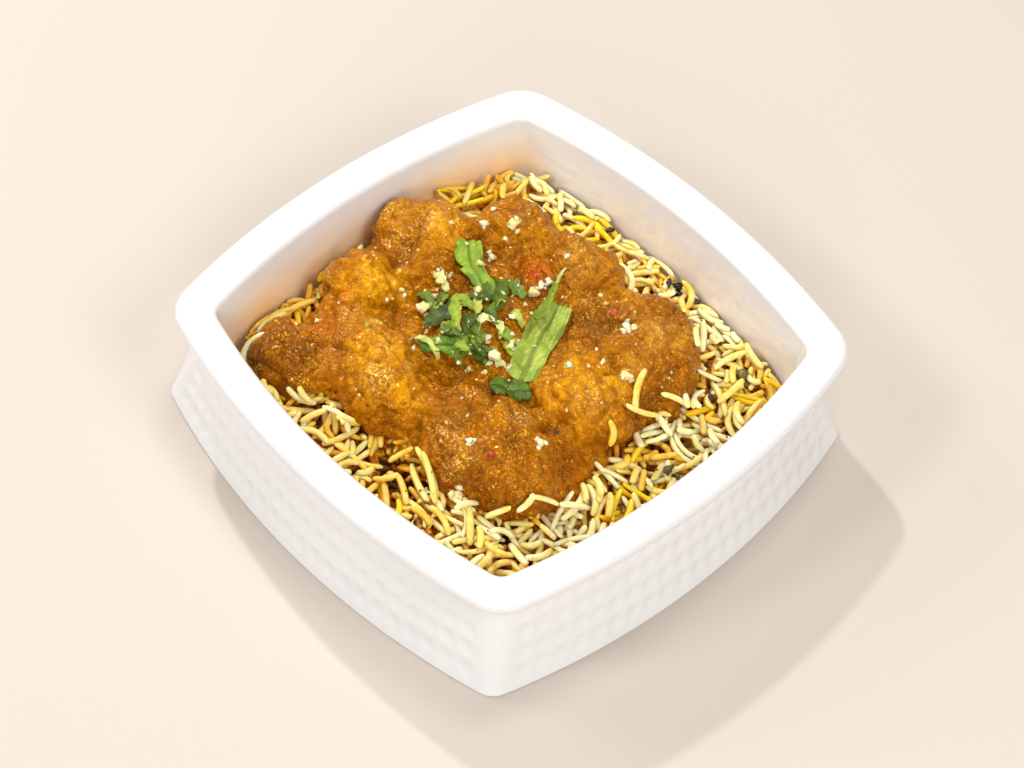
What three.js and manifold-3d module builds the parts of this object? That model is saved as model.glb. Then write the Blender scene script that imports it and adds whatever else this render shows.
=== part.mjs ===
// A biryani in its dish: a square white porcelain dish with bowed sides, a bed of rice, a heap of meat
// in gravy on the rice, and chopped coriander on the heap.
// Millimetres, +Z up. The origin is the middle of the dish's foot, at the height it stands on.

import * as THREE from 'three';
import { LoftGeometry } from 'three/addons/geometries/LoftGeometry.js';
import { mergeVertices } from 'three/addons/utils/BufferGeometryUtils.js';
import Module from 'manifold-3d';

const wasm = await Module();
wasm.setup();

// ---------------------------------------------------------------- driving dimensions

const GAP = 0.35;                  // clear space between pieces that lie on each other

// The dish. A half width is measured from the centre line to the middle of a side.
const RIM_TOP = 40.5;              // height of the rim's highest line
const RIM_HALF = 80.5;
const RIM_DIP = 1.6;               // the rim's inner edge lies this much lower than its outer one
const RIM_ROUNDING = 2.4;
const LIP_HEIGHT = 4.2;            // the upright outer face of the rim, with its roundings
const LIP_ROUNDING = 1;
const NECK_HALF = 74;              // the body just below the lip
const NECK_DROP = 2;               // from the foot of the lip down to the neck
const BASE_HALF = 83.2;            // the body flares down to a base wider than the rim
const BASE_ROUNDING = 1.2;
const BODY_CURVE = 0.8;            // below 1, so the flare grows towards the base
const OPENING_HALF = 69.2;         // inner wall at the top
const OPENING_ROUNDING = 2.2;
const FLOOR_HALF = 64.5;           // inner wall at the bottom
const FLOOR_HEIGHT = 5;
const FLOOR_ROUNDING = 4;
const FOOT_WIDTH = 6;              // the ring that the dish stands on
const FOOT_HEIGHT = 1.5;
const LIP_FOOT = RIM_TOP - LIP_HEIGHT;
const NECK_HEIGHT = LIP_FOOT - NECK_DROP;

// The bowed outline at three levels: radius of a side's arc, and of a corner.
const RIM_OUTLINE = { side: 254, corner: 12.8 };
const BASE_OUTLINE = { side: 247, corner: 7.4 };
const OPENING_OUTLINE = { side: 234, corner: 4.6 };
const SIDE_STEPS = 7;
const CORNER_STEPS = 4;

// The food
const RICE_LEVEL = 17.6;           // mean height of the rice
const RICE_WAVE = 1.3;
const GRAIN_LENGTH = [7.5, 12.5];
const GRAIN_WIDTH = 2.3;
const GRAIN_COUNT = 82;
const GRAIN_SPACING = 6.4;
const GRAIN_TIP = 0.55;            // the range of a grain's slope, in radians
const HEAP_MARGIN = 1.9;           // between a grain's middle line and the heap
const SPICE_RISE = 0.7;            // a spice's middle above the rice
const SAUCE_LEVEL = 28;            // the gravy between the chunks, whose tops stand out of it
const SAUCE_WAVE = 0.5;
const LEAF_THICKNESS = 0.7;
const LEAF_LIFT = 0.55;
const LEAF_STIFFNESS = 0.6;        // 0 follows every dip, 1 spans from the highest place it touches
const MAT_LIFT = 0.6;              // the chopped coriander's mat, above the heap
const MAT_PROBE = 2.8;             // it bridges dips narrower than twice this
const STRIP_COUNT = 12;
const STRIP_LENGTH = [5, 11];
const STRIP_WIDTH = [1.5, 3.1];
const STRIP_THICKNESS = 0.8;
const STRIP_RISE = 1.6;            // a strip's middle above what it lies on, with the mat between

// ---------------------------------------------------------------- helpers

// The same random numbers every time.
function randomFrom(seed) {
  let state = seed;
  return () => {
    state = (state + 0x6d2b79f5) | 0;
    let mixed = Math.imul(state ^ (state >>> 15), 1 | state);
    mixed = (mixed + Math.imul(mixed ^ (mixed >>> 7), 61 | mixed)) ^ mixed;
    return ((mixed ^ (mixed >>> 14)) >>> 0) / 4294967296;
  };
}

// A closed geometry as a solid. Points that coincide are merged, and the faces they collapse are dropped.
function toSolid(geometry) {
  const bare = geometry.index ? geometry.toNonIndexed() : geometry.clone();
  bare.deleteAttribute('normal');
  bare.deleteAttribute('uv');
  const merged = mergeVertices(bare, 1e-3);
  const corners = merged.index.array;
  const kept = [];
  for (let i = 0; i < corners.length; i += 3) {
    const [a, b, c] = [corners[i], corners[i + 1], corners[i + 2]];
    if (a !== b && b !== c && c !== a) kept.push(a, b, c);
  }
  return new wasm.Manifold(new wasm.Mesh({
    numProp: 3,
    vertProperties: new Float32Array(merged.attributes.position.array),
    triVerts: new Uint32Array(kept),
  }));
}

function toGeometry(solid) {
  const mesh = solid.getMesh();
  const geometry = new THREE.BufferGeometry();
  geometry.setAttribute('position', new THREE.BufferAttribute(new Float32Array(mesh.vertProperties), 3));
  geometry.setIndex(new THREE.BufferAttribute(new Uint32Array(mesh.triVerts), 1));
  geometry.computeVertexNormals();
  return geometry;
}

// A join or a cut can leave scraps, so the largest body is the one kept.
function largestBody(solid) {
  return solid.decompose().reduce((best, body) => (body.volume() > best.volume() ? body : best));
}

function ringMiddle(ring) {
  return ring.reduce((sum, point) => sum.add(point), new THREE.Vector3()).divideScalar(ring.length);
}

// A closed skin over a row of rings. Each end is closed by drawing the last ring together at one point.
function skin(rings, middleOf = ringMiddle) {
  const drawnTogether = (ring) => new Array(ring.length).fill(middleOf(ring));
  const last = rings[rings.length - 1];
  return toSolid(new LoftGeometry([drawnTogether(rings[0]), ...rings, drawnTogether(last)]));
}

// Moves every point of a geometry by a rule that takes and changes a Vector3.
function reshape(geometry, rule) {
  const position = geometry.attributes.position;
  const point = new THREE.Vector3();
  for (let i = 0; i < position.count; i++) {
    point.fromBufferAttribute(position, i);
    rule(point);
    position.setXYZ(i, point.x, point.y, point.z);
  }
  return geometry;
}

const { lerp } = THREE.MathUtils;

// ---------------------------------------------------------------- the dish

// One quarter turn at a time: a side's arc, then the corner's arc. Points run anticlockwise.
function bowedSquare({ side, corner }, half, height) {
  const arcCentre = half - side;
  const reach = side - corner;
  const cornerCentre = (arcCentre + Math.sqrt(2 * reach * reach - arcCentre * arcCentre)) / 2;
  const sideAngle = Math.atan2(cornerCentre, cornerCentre - arcCentre);
  const cornerAngle = Math.PI / 2 - 2 * sideAngle;
  const ring = [];
  for (let quarter = 0; quarter < 4; quarter++) {
    const place = (x, y) => {
      const flat = new THREE.Vector2(x, y).rotateAround(new THREE.Vector2(), quarter * Math.PI / 2);
      ring.push(new THREE.Vector3(flat.x, flat.y, height));
    };
    for (let i = 0; i < SIDE_STEPS; i++) {
      const angle = -sideAngle + 2 * sideAngle * i / SIDE_STEPS;
      place(arcCentre + side * Math.cos(angle), side * Math.sin(angle));
    }
    for (let i = 0; i < CORNER_STEPS; i++) {
      const angle = sideAngle + cornerAngle * i / CORNER_STEPS;
      place(cornerCentre + corner * Math.cos(angle), cornerCentre + corner * Math.sin(angle));
    }
  }
  return ring;
}

function bodyHalf(height) {
  return BASE_HALF - (BASE_HALF - NECK_HALF) * (height / NECK_HEIGHT) ** BODY_CURVE;
}

function innerHalf(height) {
  return lerp(FLOOR_HALF, OPENING_HALF, (height - FLOOR_HEIGHT) / (RIM_TOP - FLOOR_HEIGHT));
}

function innerRing(height, inset = 0) {
  return bowedSquare(OPENING_OUTLINE, innerHalf(height) - inset, height);
}

// Three places on a quarter-round edge, as how far in and how far down each lies from the sharp corner.
function quarterRound(radius) {
  return [0, 45, 90].map((degrees) => {
    const angle = THREE.MathUtils.degToRad(degrees);
    return [radius * (1 - Math.cos(angle)), radius * (1 - Math.sin(angle))];
  });
}

// The section from the middle of the underside, out round the body and the rim, and down to the floor.
function dishSections() {
  const recess = BASE_HALF - FOOT_WIDTH;
  const edge = RIM_TOP - RIM_DIP;
  const foot = quarterRound(BASE_ROUNDING).reverse();
  const lipFoot = quarterRound(LIP_ROUNDING).reverse();
  const rimEdge = quarterRound(RIM_ROUNDING);
  const openingEdge = quarterRound(OPENING_ROUNDING).reverse();
  const body = [0.2, 0.45, 0.72, 1].map((share) => {
    const corner = lerp(BASE_OUTLINE.corner, RIM_OUTLINE.corner, share);
    const height = share * NECK_HEIGHT;
    return bowedSquare({ side: BASE_OUTLINE.side, corner }, bodyHalf(height), height);
  });
  return [
    bowedSquare(BASE_OUTLINE, recess - FOOT_HEIGHT, FOOT_HEIGHT),
    bowedSquare(BASE_OUTLINE, recess, 0),
    ...foot.map(([inward, rise]) => bowedSquare(BASE_OUTLINE, bodyHalf(rise) - inward, rise)),
    ...body,
    ...lipFoot.map(([inward, rise]) => bowedSquare(RIM_OUTLINE, RIM_HALF - inward, LIP_FOOT + rise)),
    ...rimEdge.map(([inward, drop]) => bowedSquare(RIM_OUTLINE, RIM_HALF - inward, RIM_TOP - drop)),
    ...openingEdge.map(([out, drop]) => bowedSquare(OPENING_OUTLINE, OPENING_HALF + out, edge - drop)),
    innerRing(FLOOR_HEIGHT + FLOOR_ROUNDING),
    innerRing(FLOOR_HEIGHT + FLOOR_ROUNDING * 0.3, FLOOR_ROUNDING * 0.2),
    bowedSquare(OPENING_OUTLINE, FLOOR_HALF - FLOOR_ROUNDING, FLOOR_HEIGHT),
  ];
}

const dish = skin(dishSections());

// ---------------------------------------------------------------- where the heap lies

// Outline of the gravy where it meets the rice, anticlockwise.
const HEAP_MIDDLE = new THREE.Vector2(-6, -3);
const HEAP_STEPS = 40;
const heapOutline = new THREE.CatmullRomCurve3([
  [43, 23], [39, 6], [45, -9], [46, -24], [35, -37], [20, -43], [6, -40], [-9, -46], [-23, -46],
  [-37, -56], [-50, -51], [-52, -33], [-58, -14], [-61, 2], [-59, 15], [-50, 28], [-40, 41],
  [-25, 43], [-10, 46], [7, 43], [23, 47], [37, 38],
].reverse().map(([x, y]) => new THREE.Vector3(x, y, 0)), true);
const heapEdge = heapOutline.getPoints(HEAP_STEPS * 4).map((point) => {
  const out = new THREE.Vector2(point.x, point.y).sub(HEAP_MIDDLE);
  return { angle: out.angle(), radius: out.length() };
}).sort((a, b) => a.angle - b.angle);

// Distance from the heap's middle to its outline, in the direction of an angle.
function heapRadius(angle) {
  const turn = ((angle % (2 * Math.PI)) + 2 * Math.PI) % (2 * Math.PI);
  const next = heapEdge.findIndex((edge) => edge.angle >= turn);
  return next < 0 ? heapEdge[0].radius : heapEdge[next].radius;
}

function outsideHeap(x, y, margin) {
  const out = new THREE.Vector2(x, y).sub(HEAP_MIDDLE);
  return out.length() > heapRadius(out.angle()) + margin;
}

// Height of the bed of rice. It stands a little higher at the far corner.
function riceHeight(x, y) {
  return RICE_LEVEL + RICE_WAVE * Math.sin(x / 16 + 0.8) * Math.cos(y / 18 - 0.4) + (y - x) / 110;
}

// ---------------------------------------------------------------- chunks of meat

// Each chunk: middle, half sizes, turn about Z in degrees, and the seed of its lumps.
const CHUNKS = [
  { at: [-10, -1.5, 23.5], half: [15, 16, 10.5], turn: 20, seed: 11 },
  { at: [24.5, 6.5, 25.5], half: [15.5, 14.5, 10], turn: -15, seed: 12 },
  { at: [-20, -32, 24.5], half: [19.5, 12, 10], turn: -12, seed: 13 },
  { at: [-46, 12.5, 24.5], half: [12.5, 15, 9.5], turn: 15, seed: 14 },
  { at: [-33, 34.5, 24.5], half: [11.5, 11.5, 9.5], turn: 0, seed: 15 },
  { at: [-10.5, 37.5, 24.5], half: [13, 9.5, 9], turn: 10, seed: 16 },
  { at: [25, 33, 24.5], half: [18.5, 14, 9.5], turn: -32, seed: 17 },
  { at: [20.5, -25.5, 24.5], half: [22, 13.5, 9.5], turn: 4, seed: 18 },
  { at: [-41.5, -46, 22], half: [12, 11.5, 8], turn: 30, seed: 19 },
  { at: [-46, -17, 24], half: [12.5, 11, 9], turn: -20, seed: 20 },
  { at: [-60.5, 8.5, 25.5], half: [4.8, 7.4, 7.6], turn: 5, seed: 21 },
];
const CHUNK_AROUND = 11;
const CHUNK_ALONG = 8;
const SQUARENESS = 0.82;           // 1 is an ellipsoid, less is boxier
const LUMP_DEPTH = 0.06;

// A rounded, slightly boxy chunk with a few dents. Grow makes the larger copy that cuts its neighbours.
function chunkSolid({ at, half, turn, seed }, grow = 0) {
  const random = randomFrom(seed);
  const waves = [0, 1, 2].map(() => ({
    direction: new THREE.Vector3(random() - 0.5, random() - 0.5, random() - 0.5).normalize(),
    count: 2.4 + 2 * random(),
    shift: 6 * random(),
  }));
  const square = (value) => Math.sign(value) * Math.abs(value) ** SQUARENESS;
  const geometry = reshape(new THREE.SphereGeometry(1, CHUNK_AROUND, CHUNK_ALONG), (point) => {
    let swell = 1;
    for (const wave of waves) {
      swell += LUMP_DEPTH * Math.sin(wave.count * point.dot(wave.direction) + wave.shift);
    }
    const boxy = new THREE.Vector3(square(point.x), square(point.y), square(point.z));
    boxy.multiplyScalar(swell);
    point.set(boxy.x * (half[0] + grow), boxy.y * (half[1] + grow), boxy.z * (half[2] + grow));
    point.applyAxisAngle(new THREE.Vector3(0, 0, 1), THREE.MathUtils.degToRad(turn));
    point.add(new THREE.Vector3(...at));
  });
  return toSolid(geometry);
}

// ---------------------------------------------------------------- the bed of rice

// A ring of the rice's upper surface: share is 1 at the wall and 0 at the middle.
function riceTopRing(share, drop = 0) {
  return innerRing(RICE_LEVEL, GAP + 0.2).map((point) => {
    const [x, y] = [point.x * share, point.y * share];
    return new THREE.Vector3(x, y, riceHeight(x, y) - drop);
  });
}

function riceCore() {
  const sections = [
    bowedSquare(OPENING_OUTLINE, FLOOR_HALF - FLOOR_ROUNDING - 1, FLOOR_HEIGHT + GAP),
    innerRing(FLOOR_HEIGHT + FLOOR_ROUNDING + GAP, GAP + 0.4),
    riceTopRing(1, 1.6),
    riceTopRing(0.975, 0.3),
  ];
  for (const share of [0.88, 0.76, 0.6, 0.3]) sections.push(riceTopRing(share));
  return skin(sections);
}

// True where a point lies inside the dish with the given margin.
function insideWall(x, y, height, margin) {
  const reach = innerHalf(height) - margin;
  const [across, along] = [Math.max(Math.abs(x), Math.abs(y)), Math.min(Math.abs(x), Math.abs(y))];
  const bow = OPENING_OUTLINE.side - Math.sqrt(OPENING_OUTLINE.side ** 2 - along ** 2);
  return across < reach - bow;
}

const riceBed = riceCore();
const riceBedClear = riceBed.translate([0, 0, GAP]);

// ---------------------------------------------------------------- the gravy

// Height of the gravy between the chunks, a little higher towards the middle of the heap.
function sauceHeight(x, y) {
  const out = Math.hypot(x - HEAP_MIDDLE.x, y - HEAP_MIDDLE.y);
  return SAUCE_LEVEL - out / 18 + SAUCE_WAVE * Math.sin(x / 5) * Math.sin(y / 6);
}

// A ring of the heap's surface: share is 1 at the outline.
function heapRing(share, heightAt) {
  const ring = [];
  for (let i = 0; i < HEAP_STEPS; i++) {
    const angle = 2 * Math.PI * i / HEAP_STEPS;
    const radius = heapRadius(angle) * share;
    const x = HEAP_MIDDLE.x + radius * Math.cos(angle);
    const y = HEAP_MIDDLE.y + radius * Math.sin(angle);
    ring.push(new THREE.Vector3(x, y, heightAt(x, y)));
  }
  return ring;
}

function gravyBody() {
  const underside = (x, y) => riceHeight(x, y) + GAP + 0.4;
  const sections = [];
  for (const share of [0.4, 0.96]) sections.push(heapRing(share, underside));
  sections.push(heapRing(1, (x, y) => riceHeight(x, y) + 1.4));
  for (const [share, rise] of [[0.98, 0.45], [0.92, 0.8], [0.82, 1], [0.6, 1], [0.35, 1]]) {
    sections.push(heapRing(share, (x, y) => lerp(underside(x, y), sauceHeight(x, y), rise)));
  }
  return skin(sections);
}

// Each chunk is cut clear of the ones before it, and the gravy is cut clear of them all.
const chunkCutters = CHUNKS.map((chunk) => chunkSolid(chunk, GAP + 0.1));
const chunks = CHUNKS.map((chunk, index) => {
  let solid = chunkSolid(chunk).subtract(riceBedClear);
  for (const cutter of chunkCutters.slice(0, index)) solid = solid.subtract(cutter);
  return largestBody(solid);
});
const gravy = largestBody(chunkCutters.reduce((solid, cutter) => solid.subtract(cutter), gravyBody()));

// ---------------------------------------------------------------- grains of rice

const grainShape = new THREE.SphereGeometry(1, 5, 3);

// One grain of rice as a tapered rod, lying along its own X before it is turned and placed.
function grainSolid(place, turn, tip, length, width) {
  const geometry = grainShape.clone();
  geometry.scale(width / 2, length / 2, width / 2);
  geometry.rotateZ(-Math.PI / 2);
  geometry.rotateY(-tip);
  geometry.rotateZ(turn);
  geometry.translate(place.x, place.y, place.z);
  return toSolid(geometry);
}

function scatterGrains() {
  const random = randomFrom(7);
  const grains = [];
  const middles = [];
  for (let attempt = 0; attempt < 9000 && grains.length < GRAIN_COUNT; attempt++) {
    const x = (random() - 0.5) * 2 * OPENING_HALF;
    const y = (random() - 0.5) * 2 * OPENING_HALF;
    const length = lerp(...GRAIN_LENGTH, random());
    const turn = random() * Math.PI;
    const tip = (random() - 0.5) * GRAIN_TIP;
    const middle = new THREE.Vector3(x, y, riceHeight(x, y) + 0.25 + 0.5 * random());
    const along = new THREE.Vector3().setFromSphericalCoords(1, Math.PI / 2 - tip, 0);
    along.set(along.z * Math.cos(turn), along.z * Math.sin(turn), along.y);
    const fits = [-1, -0.5, 0, 0.5, 1].every((share) => {
      const { x: px, y: py, z: pz } = middle.clone().addScaledVector(along, share * length / 2);
      return insideWall(px, py, pz, GRAIN_WIDTH / 2 + GAP) && outsideHeap(px, py, HEAP_MARGIN);
    });
    if (!fits || middles.some((other) => other.distanceTo(middle) < GRAIN_SPACING)) continue;
    const grain = grainSolid(middle, turn, tip, length, GRAIN_WIDTH);
    if (chunkCutters.some((cutter) => cutter.intersect(grain).volume() > 0)) continue;
    middles.push(middle);
    grains.push(grain);
  }
  return grains;
}

// Whole spices that lie in the rice: place, and half sizes.
const SPICES = [
  { at: [12.5, 61.5], half: [2.6, 1.8, 1.5] },
  { at: [7, 60], half: [2.2, 1.6, 1.4] },
  { at: [18.5, 63], half: [1.7, 1.4, 1.3] },
  { at: [50, 50.5], half: [3.2, 1.7, 1.5] },
  { at: [48.5, 12.5], half: [1.6, 1.4, 1.2] },
  { at: [58.5, 9], half: [1.9, 2.4, 1.4] },
  { at: [48.5, -36], half: [2.2, 2.6, 1.6] },
];

function spiceSolids() {
  return SPICES.map(({ at: [x, y], half }) => {
    const geometry = new THREE.IcosahedronGeometry(1, 0);
    geometry.scale(...half);
    geometry.translate(x, y, riceHeight(x, y) + SPICE_RISE);
    return toSolid(geometry);
  });
}

const rice = largestBody(wasm.Manifold.union([riceBed, ...scatterGrains(), ...spiceSolids()]));

// ---------------------------------------------------------------- coriander

const heapMeshes = [gravy, ...chunks].map((solid) => new THREE.Mesh(toGeometry(solid)));
for (const mesh of heapMeshes) mesh.geometry.computeBoundingSphere();
const probe = new THREE.Raycaster();
const DOWN = new THREE.Vector3(0, 0, -1);

// Height of the heap at a place: the highest of a few probes, so that a stiff leaf bridges small dips.
function heapTop(x, y, reach = 1.4) {
  let top = 0;
  for (const [dx, dy] of [[0, 0], [reach, 0], [-reach, 0], [0, reach], [0, -reach]]) {
    probe.set(new THREE.Vector3(x + dx, y + dy, 100), DOWN);
    for (const hit of probe.intersectObjects(heapMeshes)) top = Math.max(top, hit.point.z);
  }
  return top;
}

// A thin leaf along a line of points on the heap. Widths are given from stalk to tip, and the ripple
// lifts its surface in waves. Its section is a flat lens, so both faces have the same triangles.
function leafSolid({ spine, widths, ripple, grow = 0 }) {
  const lengthSteps = 7;
  const quarterSteps = 2;
  const line = new THREE.CatmullRomCurve3(spine.map(([x, y]) => new THREE.Vector3(x, y, 0)));
  const supports = line.getPoints(lengthSteps).map((point) => heapTop(point.x, point.y));
  const highest = Math.max(...supports);
  const sections = [];
  for (let i = 0; i <= lengthSteps; i++) {
    const share = i / lengthSteps;
    const middle = line.getPoint(share);
    const along = line.getTangent(share);
    const across = new THREE.Vector3(-along.y, along.x, 0);
    const slot = share * (widths.length - 1);
    const index = Math.min(Math.floor(slot), widths.length - 2);
    const halfWidth = lerp(widths[index], widths[index + 1], slot - index) / 2 + grow;
    const ring = [];
    for (let j = 0; j < 4 * quarterSteps; j++) {
      const angle = Math.PI * j / (2 * quarterSteps);
      const side = Math.cos(angle);
      const point = middle.clone().addScaledVector(across, side * halfWidth);
      const wave = ripple * (1 + Math.sin(share * 9 + side * 2.4)) / 2;
      const body = Math.sin(angle) * (LEAF_THICKNESS / 2 + grow);
      const rest = Math.max(heapTop(point.x, point.y), lerp(supports[i], highest, LEAF_STIFFNESS));
      point.z = rest + LEAF_LIFT + LEAF_THICKNESS / 2 + wave + body;
      ring.push(point);
    }
    sections.push(ring);
  }
  const lensMiddle = (ring) => ring[quarterSteps].clone().lerp(ring[3 * quarterSteps], 0.5);
  return skin(sections, lensMiddle);
}

const LEAVES = [
  { spine: [[-4.6, 24.3], [0.4, 14.8], [5.4, 4.3], [11, -7]], widths: [9.5, 9.5, 8.5, 7.5, 3], ripple: 0.8 },
  { spine: [[-36.5, 15.5], [-30, 12], [-23, 12.5], [-16.5, 9]], widths: [5, 8, 6.5, 7, 3], ripple: 0.9 },
  { spine: [[15.2, -7.6], [12.6, -11.4], [8.2, -15.4]], widths: [4, 8, 7, 3.5], ripple: 0.7 },
  { spine: [[-5, -11.5], [-11, -15], [-17.5, -20]], widths: [3, 6, 6.5, 2.5], ripple: 0.8 },
];
const leaves = LEAVES.map((leaf) => leafSolid(leaf));
const leafCutters = LEAVES.map((leaf) => leafSolid({ ...leaf, grow: GAP }));

// The chopped part: a thin mat of bits with strips lying across it, joined into one.
const MAT_MIDDLE = new THREE.Vector2(-8.5, -3.5);
const MAT_REACH = [13, 11.5];

function choppedMat() {
  const around = 14;
  const ring = (share, rise) => {
    const points = [];
    for (let i = 0; i < around; i++) {
      const angle = 2 * Math.PI * i / around;
      const ragged = 1 + 0.12 * Math.sin(3 * angle + 1) + 0.08 * Math.sin(7 * angle);
      const x = MAT_MIDDLE.x + MAT_REACH[0] * share * ragged * Math.cos(angle);
      const y = MAT_MIDDLE.y + MAT_REACH[1] * share * ragged * Math.sin(angle);
      points.push(new THREE.Vector3(x, y, heapTop(x, y, MAT_PROBE) + rise));
    }
    return points;
  };
  const underside = [ring(0.3, MAT_LIFT), ring(0.7, MAT_LIFT)];
  return skin([...underside, ring(1, MAT_LIFT), ring(0.75, MAT_LIFT + 1.1), ring(0.3, MAT_LIFT + 1.8)]);
}

function choppedStrips() {
  const random = randomFrom(31);
  const strips = [];
  for (let i = 0; i < STRIP_COUNT; i++) {
    const angle = 2.4 * i;
    const share = Math.sqrt((i + 0.5) / STRIP_COUNT) * 0.86;
    const middle = new THREE.Vector2(Math.cos(angle) * MAT_REACH[0], Math.sin(angle) * MAT_REACH[1]);
    middle.multiplyScalar(share).add(MAT_MIDDLE);
    const turn = random() * Math.PI;
    const length = lerp(...STRIP_LENGTH, random());
    const width = lerp(...STRIP_WIDTH, random());
    const bend = (random() - 0.3) * 0.05;
    const geometry = new THREE.BoxGeometry(length, width, STRIP_THICKNESS, 2, 1, 1);
    const middleRest = heapTop(middle.x, middle.y, MAT_PROBE) + STRIP_RISE;
    reshape(geometry, (point) => {
      const lift = bend * point.x * point.x + point.z;
      point.applyAxisAngle(new THREE.Vector3(0, 0, 1), turn);
      point.x += middle.x;
      point.y += middle.y;
      point.z = Math.max(heapTop(point.x, point.y, MAT_PROBE) + STRIP_RISE, middleRest - 0.25) + lift;
    });
    strips.push(toSolid(geometry));
  }
  return strips;
}

const choppedWhole = wasm.Manifold.union([choppedMat(), ...choppedStrips()]);
const chopped = largestBody(leafCutters.reduce((solid, cutter) => solid.subtract(cutter), choppedWhole));

// ---------------------------------------------------------------- the scene

const FINISH = {
  porcelain: { color: 0xf4f1ee, roughness: 0.18 },
  rice: { color: 0xe9d9a8, roughness: 0.5 },
  gravy: { color: 0xb8701c, roughness: 0.28 },
  meat: { color: 0xa86218, roughness: 0.32 },
  leaf: { color: 0x7fae45, roughness: 0.45 },
  chopped: { color: 0x4f8030, roughness: 0.5 },
};

function piece(name, solid, finish) {
  const material = new THREE.MeshStandardMaterial({ metalness: 0, ...FINISH[finish] });
  const mesh = new THREE.Mesh(toGeometry(solid), material);
  mesh.name = name;
  return mesh;
}

const biryani = new THREE.Group();
biryani.add(piece('dish', dish, 'porcelain'));
biryani.add(piece('rice', rice, 'rice'));
biryani.add(piece('gravy', gravy, 'gravy'));
chunks.forEach((chunk, index) => {
  biryani.add(piece(`meat_${String(index + 1).padStart(2, '0')}`, chunk, 'meat'));
});
leaves.forEach((leaf, index) => biryani.add(piece(`coriander_leaf_${index + 1}`, leaf, 'leaf')));
biryani.add(piece('coriander_chopped', chopped, 'chopped'));

export default biryani;
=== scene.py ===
# %% [markdown]
# # A biryani in its square dish
#
# A square porcelain dish with bowed sides holds a bed of long-grain rice, a heap of meat chunks in gravy
# and chopped coriander. The lesson goes from the large to the small: view and light, dish, gravy and meat,
# rice, leaves, and at last the small bits that make food look like food.

# %% Load the fixed frame
import math

import bmesh
import bpy
import numpy as np
from mathutils import Matrix, Quaternion, Vector, noise
from mathutils.bvhtree import BVHTree


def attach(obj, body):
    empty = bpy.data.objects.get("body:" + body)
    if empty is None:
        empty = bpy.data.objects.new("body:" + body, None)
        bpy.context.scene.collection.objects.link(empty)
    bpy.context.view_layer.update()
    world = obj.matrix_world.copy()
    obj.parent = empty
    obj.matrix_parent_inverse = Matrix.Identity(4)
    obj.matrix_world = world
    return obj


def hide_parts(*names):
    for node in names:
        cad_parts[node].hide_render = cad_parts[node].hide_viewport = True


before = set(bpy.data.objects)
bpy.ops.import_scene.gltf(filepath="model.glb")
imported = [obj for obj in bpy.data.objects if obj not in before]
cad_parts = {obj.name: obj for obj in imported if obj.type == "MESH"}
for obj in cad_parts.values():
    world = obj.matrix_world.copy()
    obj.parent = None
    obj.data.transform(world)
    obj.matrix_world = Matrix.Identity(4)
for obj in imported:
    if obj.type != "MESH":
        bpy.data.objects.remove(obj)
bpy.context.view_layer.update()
MM = 0.001
noise.seed_set(5)  # noise.noise_vector starts from the clock unless it gets a seed

# %% [markdown]
# ## View and light
#
# Food is usually shot from above with a long lens, which keeps the sides of the dish from spreading. The
# camera's place is given as a turn round the dish, a height above the table and a distance, because those
# are what a photographer would note down. It also leans a little to one side.

# %% Camera
TARGET = Vector((1.7, -0.06, 14.82)) * MM
TURN = math.radians(43.26)
HEIGHT_ANGLE = math.radians(51.25)
LEAN = math.radians(5.03)
DISTANCE = 733.6 * MM
LENS = 86.8

back = Vector((
    math.sin(TURN) * math.cos(HEIGHT_ANGLE),
    -math.cos(TURN) * math.cos(HEIGHT_ANGLE),
    math.sin(HEIGHT_ANGLE),
))
camera = bpy.data.objects.new("camera", bpy.data.cameras.new("camera"))
bpy.context.scene.collection.objects.link(camera)
camera.data.lens = LENS
camera.data.clip_start = 0.05
camera.location = TARGET + back * DISTANCE
camera.rotation_mode = "QUATERNION"
camera.rotation_quaternion = (-back).to_track_quat("-Z", "Y") @ Quaternion((0, 0, 1), LEAN)
bpy.context.scene.camera = camera
print("camera at", [round(v, 3) for v in camera.location])

# %% [markdown]
# The key lamp stands on the -Y side and a wider one fills from the +X side. Three softer ones, in front,
# above and on the left, keep the shadows between the grains open. Wet food lives from small bright
# glints, and those need a small lamp: it stands behind the dish, about where a flat wet surface would
# mirror the camera. A faint warm sky gives the rest. The Standard view transform keeps the white of the
# porcelain and the orange of the gravy as they are.

# %% Lamps, sky and floor
def area_lamp(name, place, size, power, colour):
    light = bpy.data.lights.new(name, "AREA")
    light.shape = "DISK"
    light.size = size
    light.energy = power
    light.color = colour
    lamp = bpy.data.objects.new(name, light)
    bpy.context.scene.collection.objects.link(lamp)
    lamp.location = place
    lamp.rotation_mode = "QUATERNION"
    lamp.rotation_quaternion = (TARGET - Vector(place)).to_track_quat("-Z", "Y")


area_lamp("key", (-0.50, -1.10, 1.15), 0.34, 6.8, (1, 1, 1))
area_lamp("fill", (0.95, 0.05, 1.0), 0.6, 7.5, (1, 0.97, 0.945))
area_lamp("front", (0.80, -0.85, 0.60), 0.6, 5.2, (1, 0.99, 0.98))
area_lamp("top", (-0.15, 0.35, 1.45), 0.4, 5.4, (1, 0.99, 0.97))
area_lamp("left", (-1.15, -0.5, 0.8), 0.5, 5.2, (1, 0.98, 0.96))
area_lamp("glints", (-0.95, 0.30, 1.05), 0.06, 9.0, (1, 0.99, 0.97))

world = bpy.data.worlds.new("sky")
world.use_nodes = True
sky = world.node_tree.nodes["Background"]
sky.inputs["Color"].default_value = (1, 0.94, 0.87, 1)
sky.inputs["Strength"].default_value = 0.42
bpy.context.scene.world = world
bpy.context.scene.view_settings.view_transform = "Standard"

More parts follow.
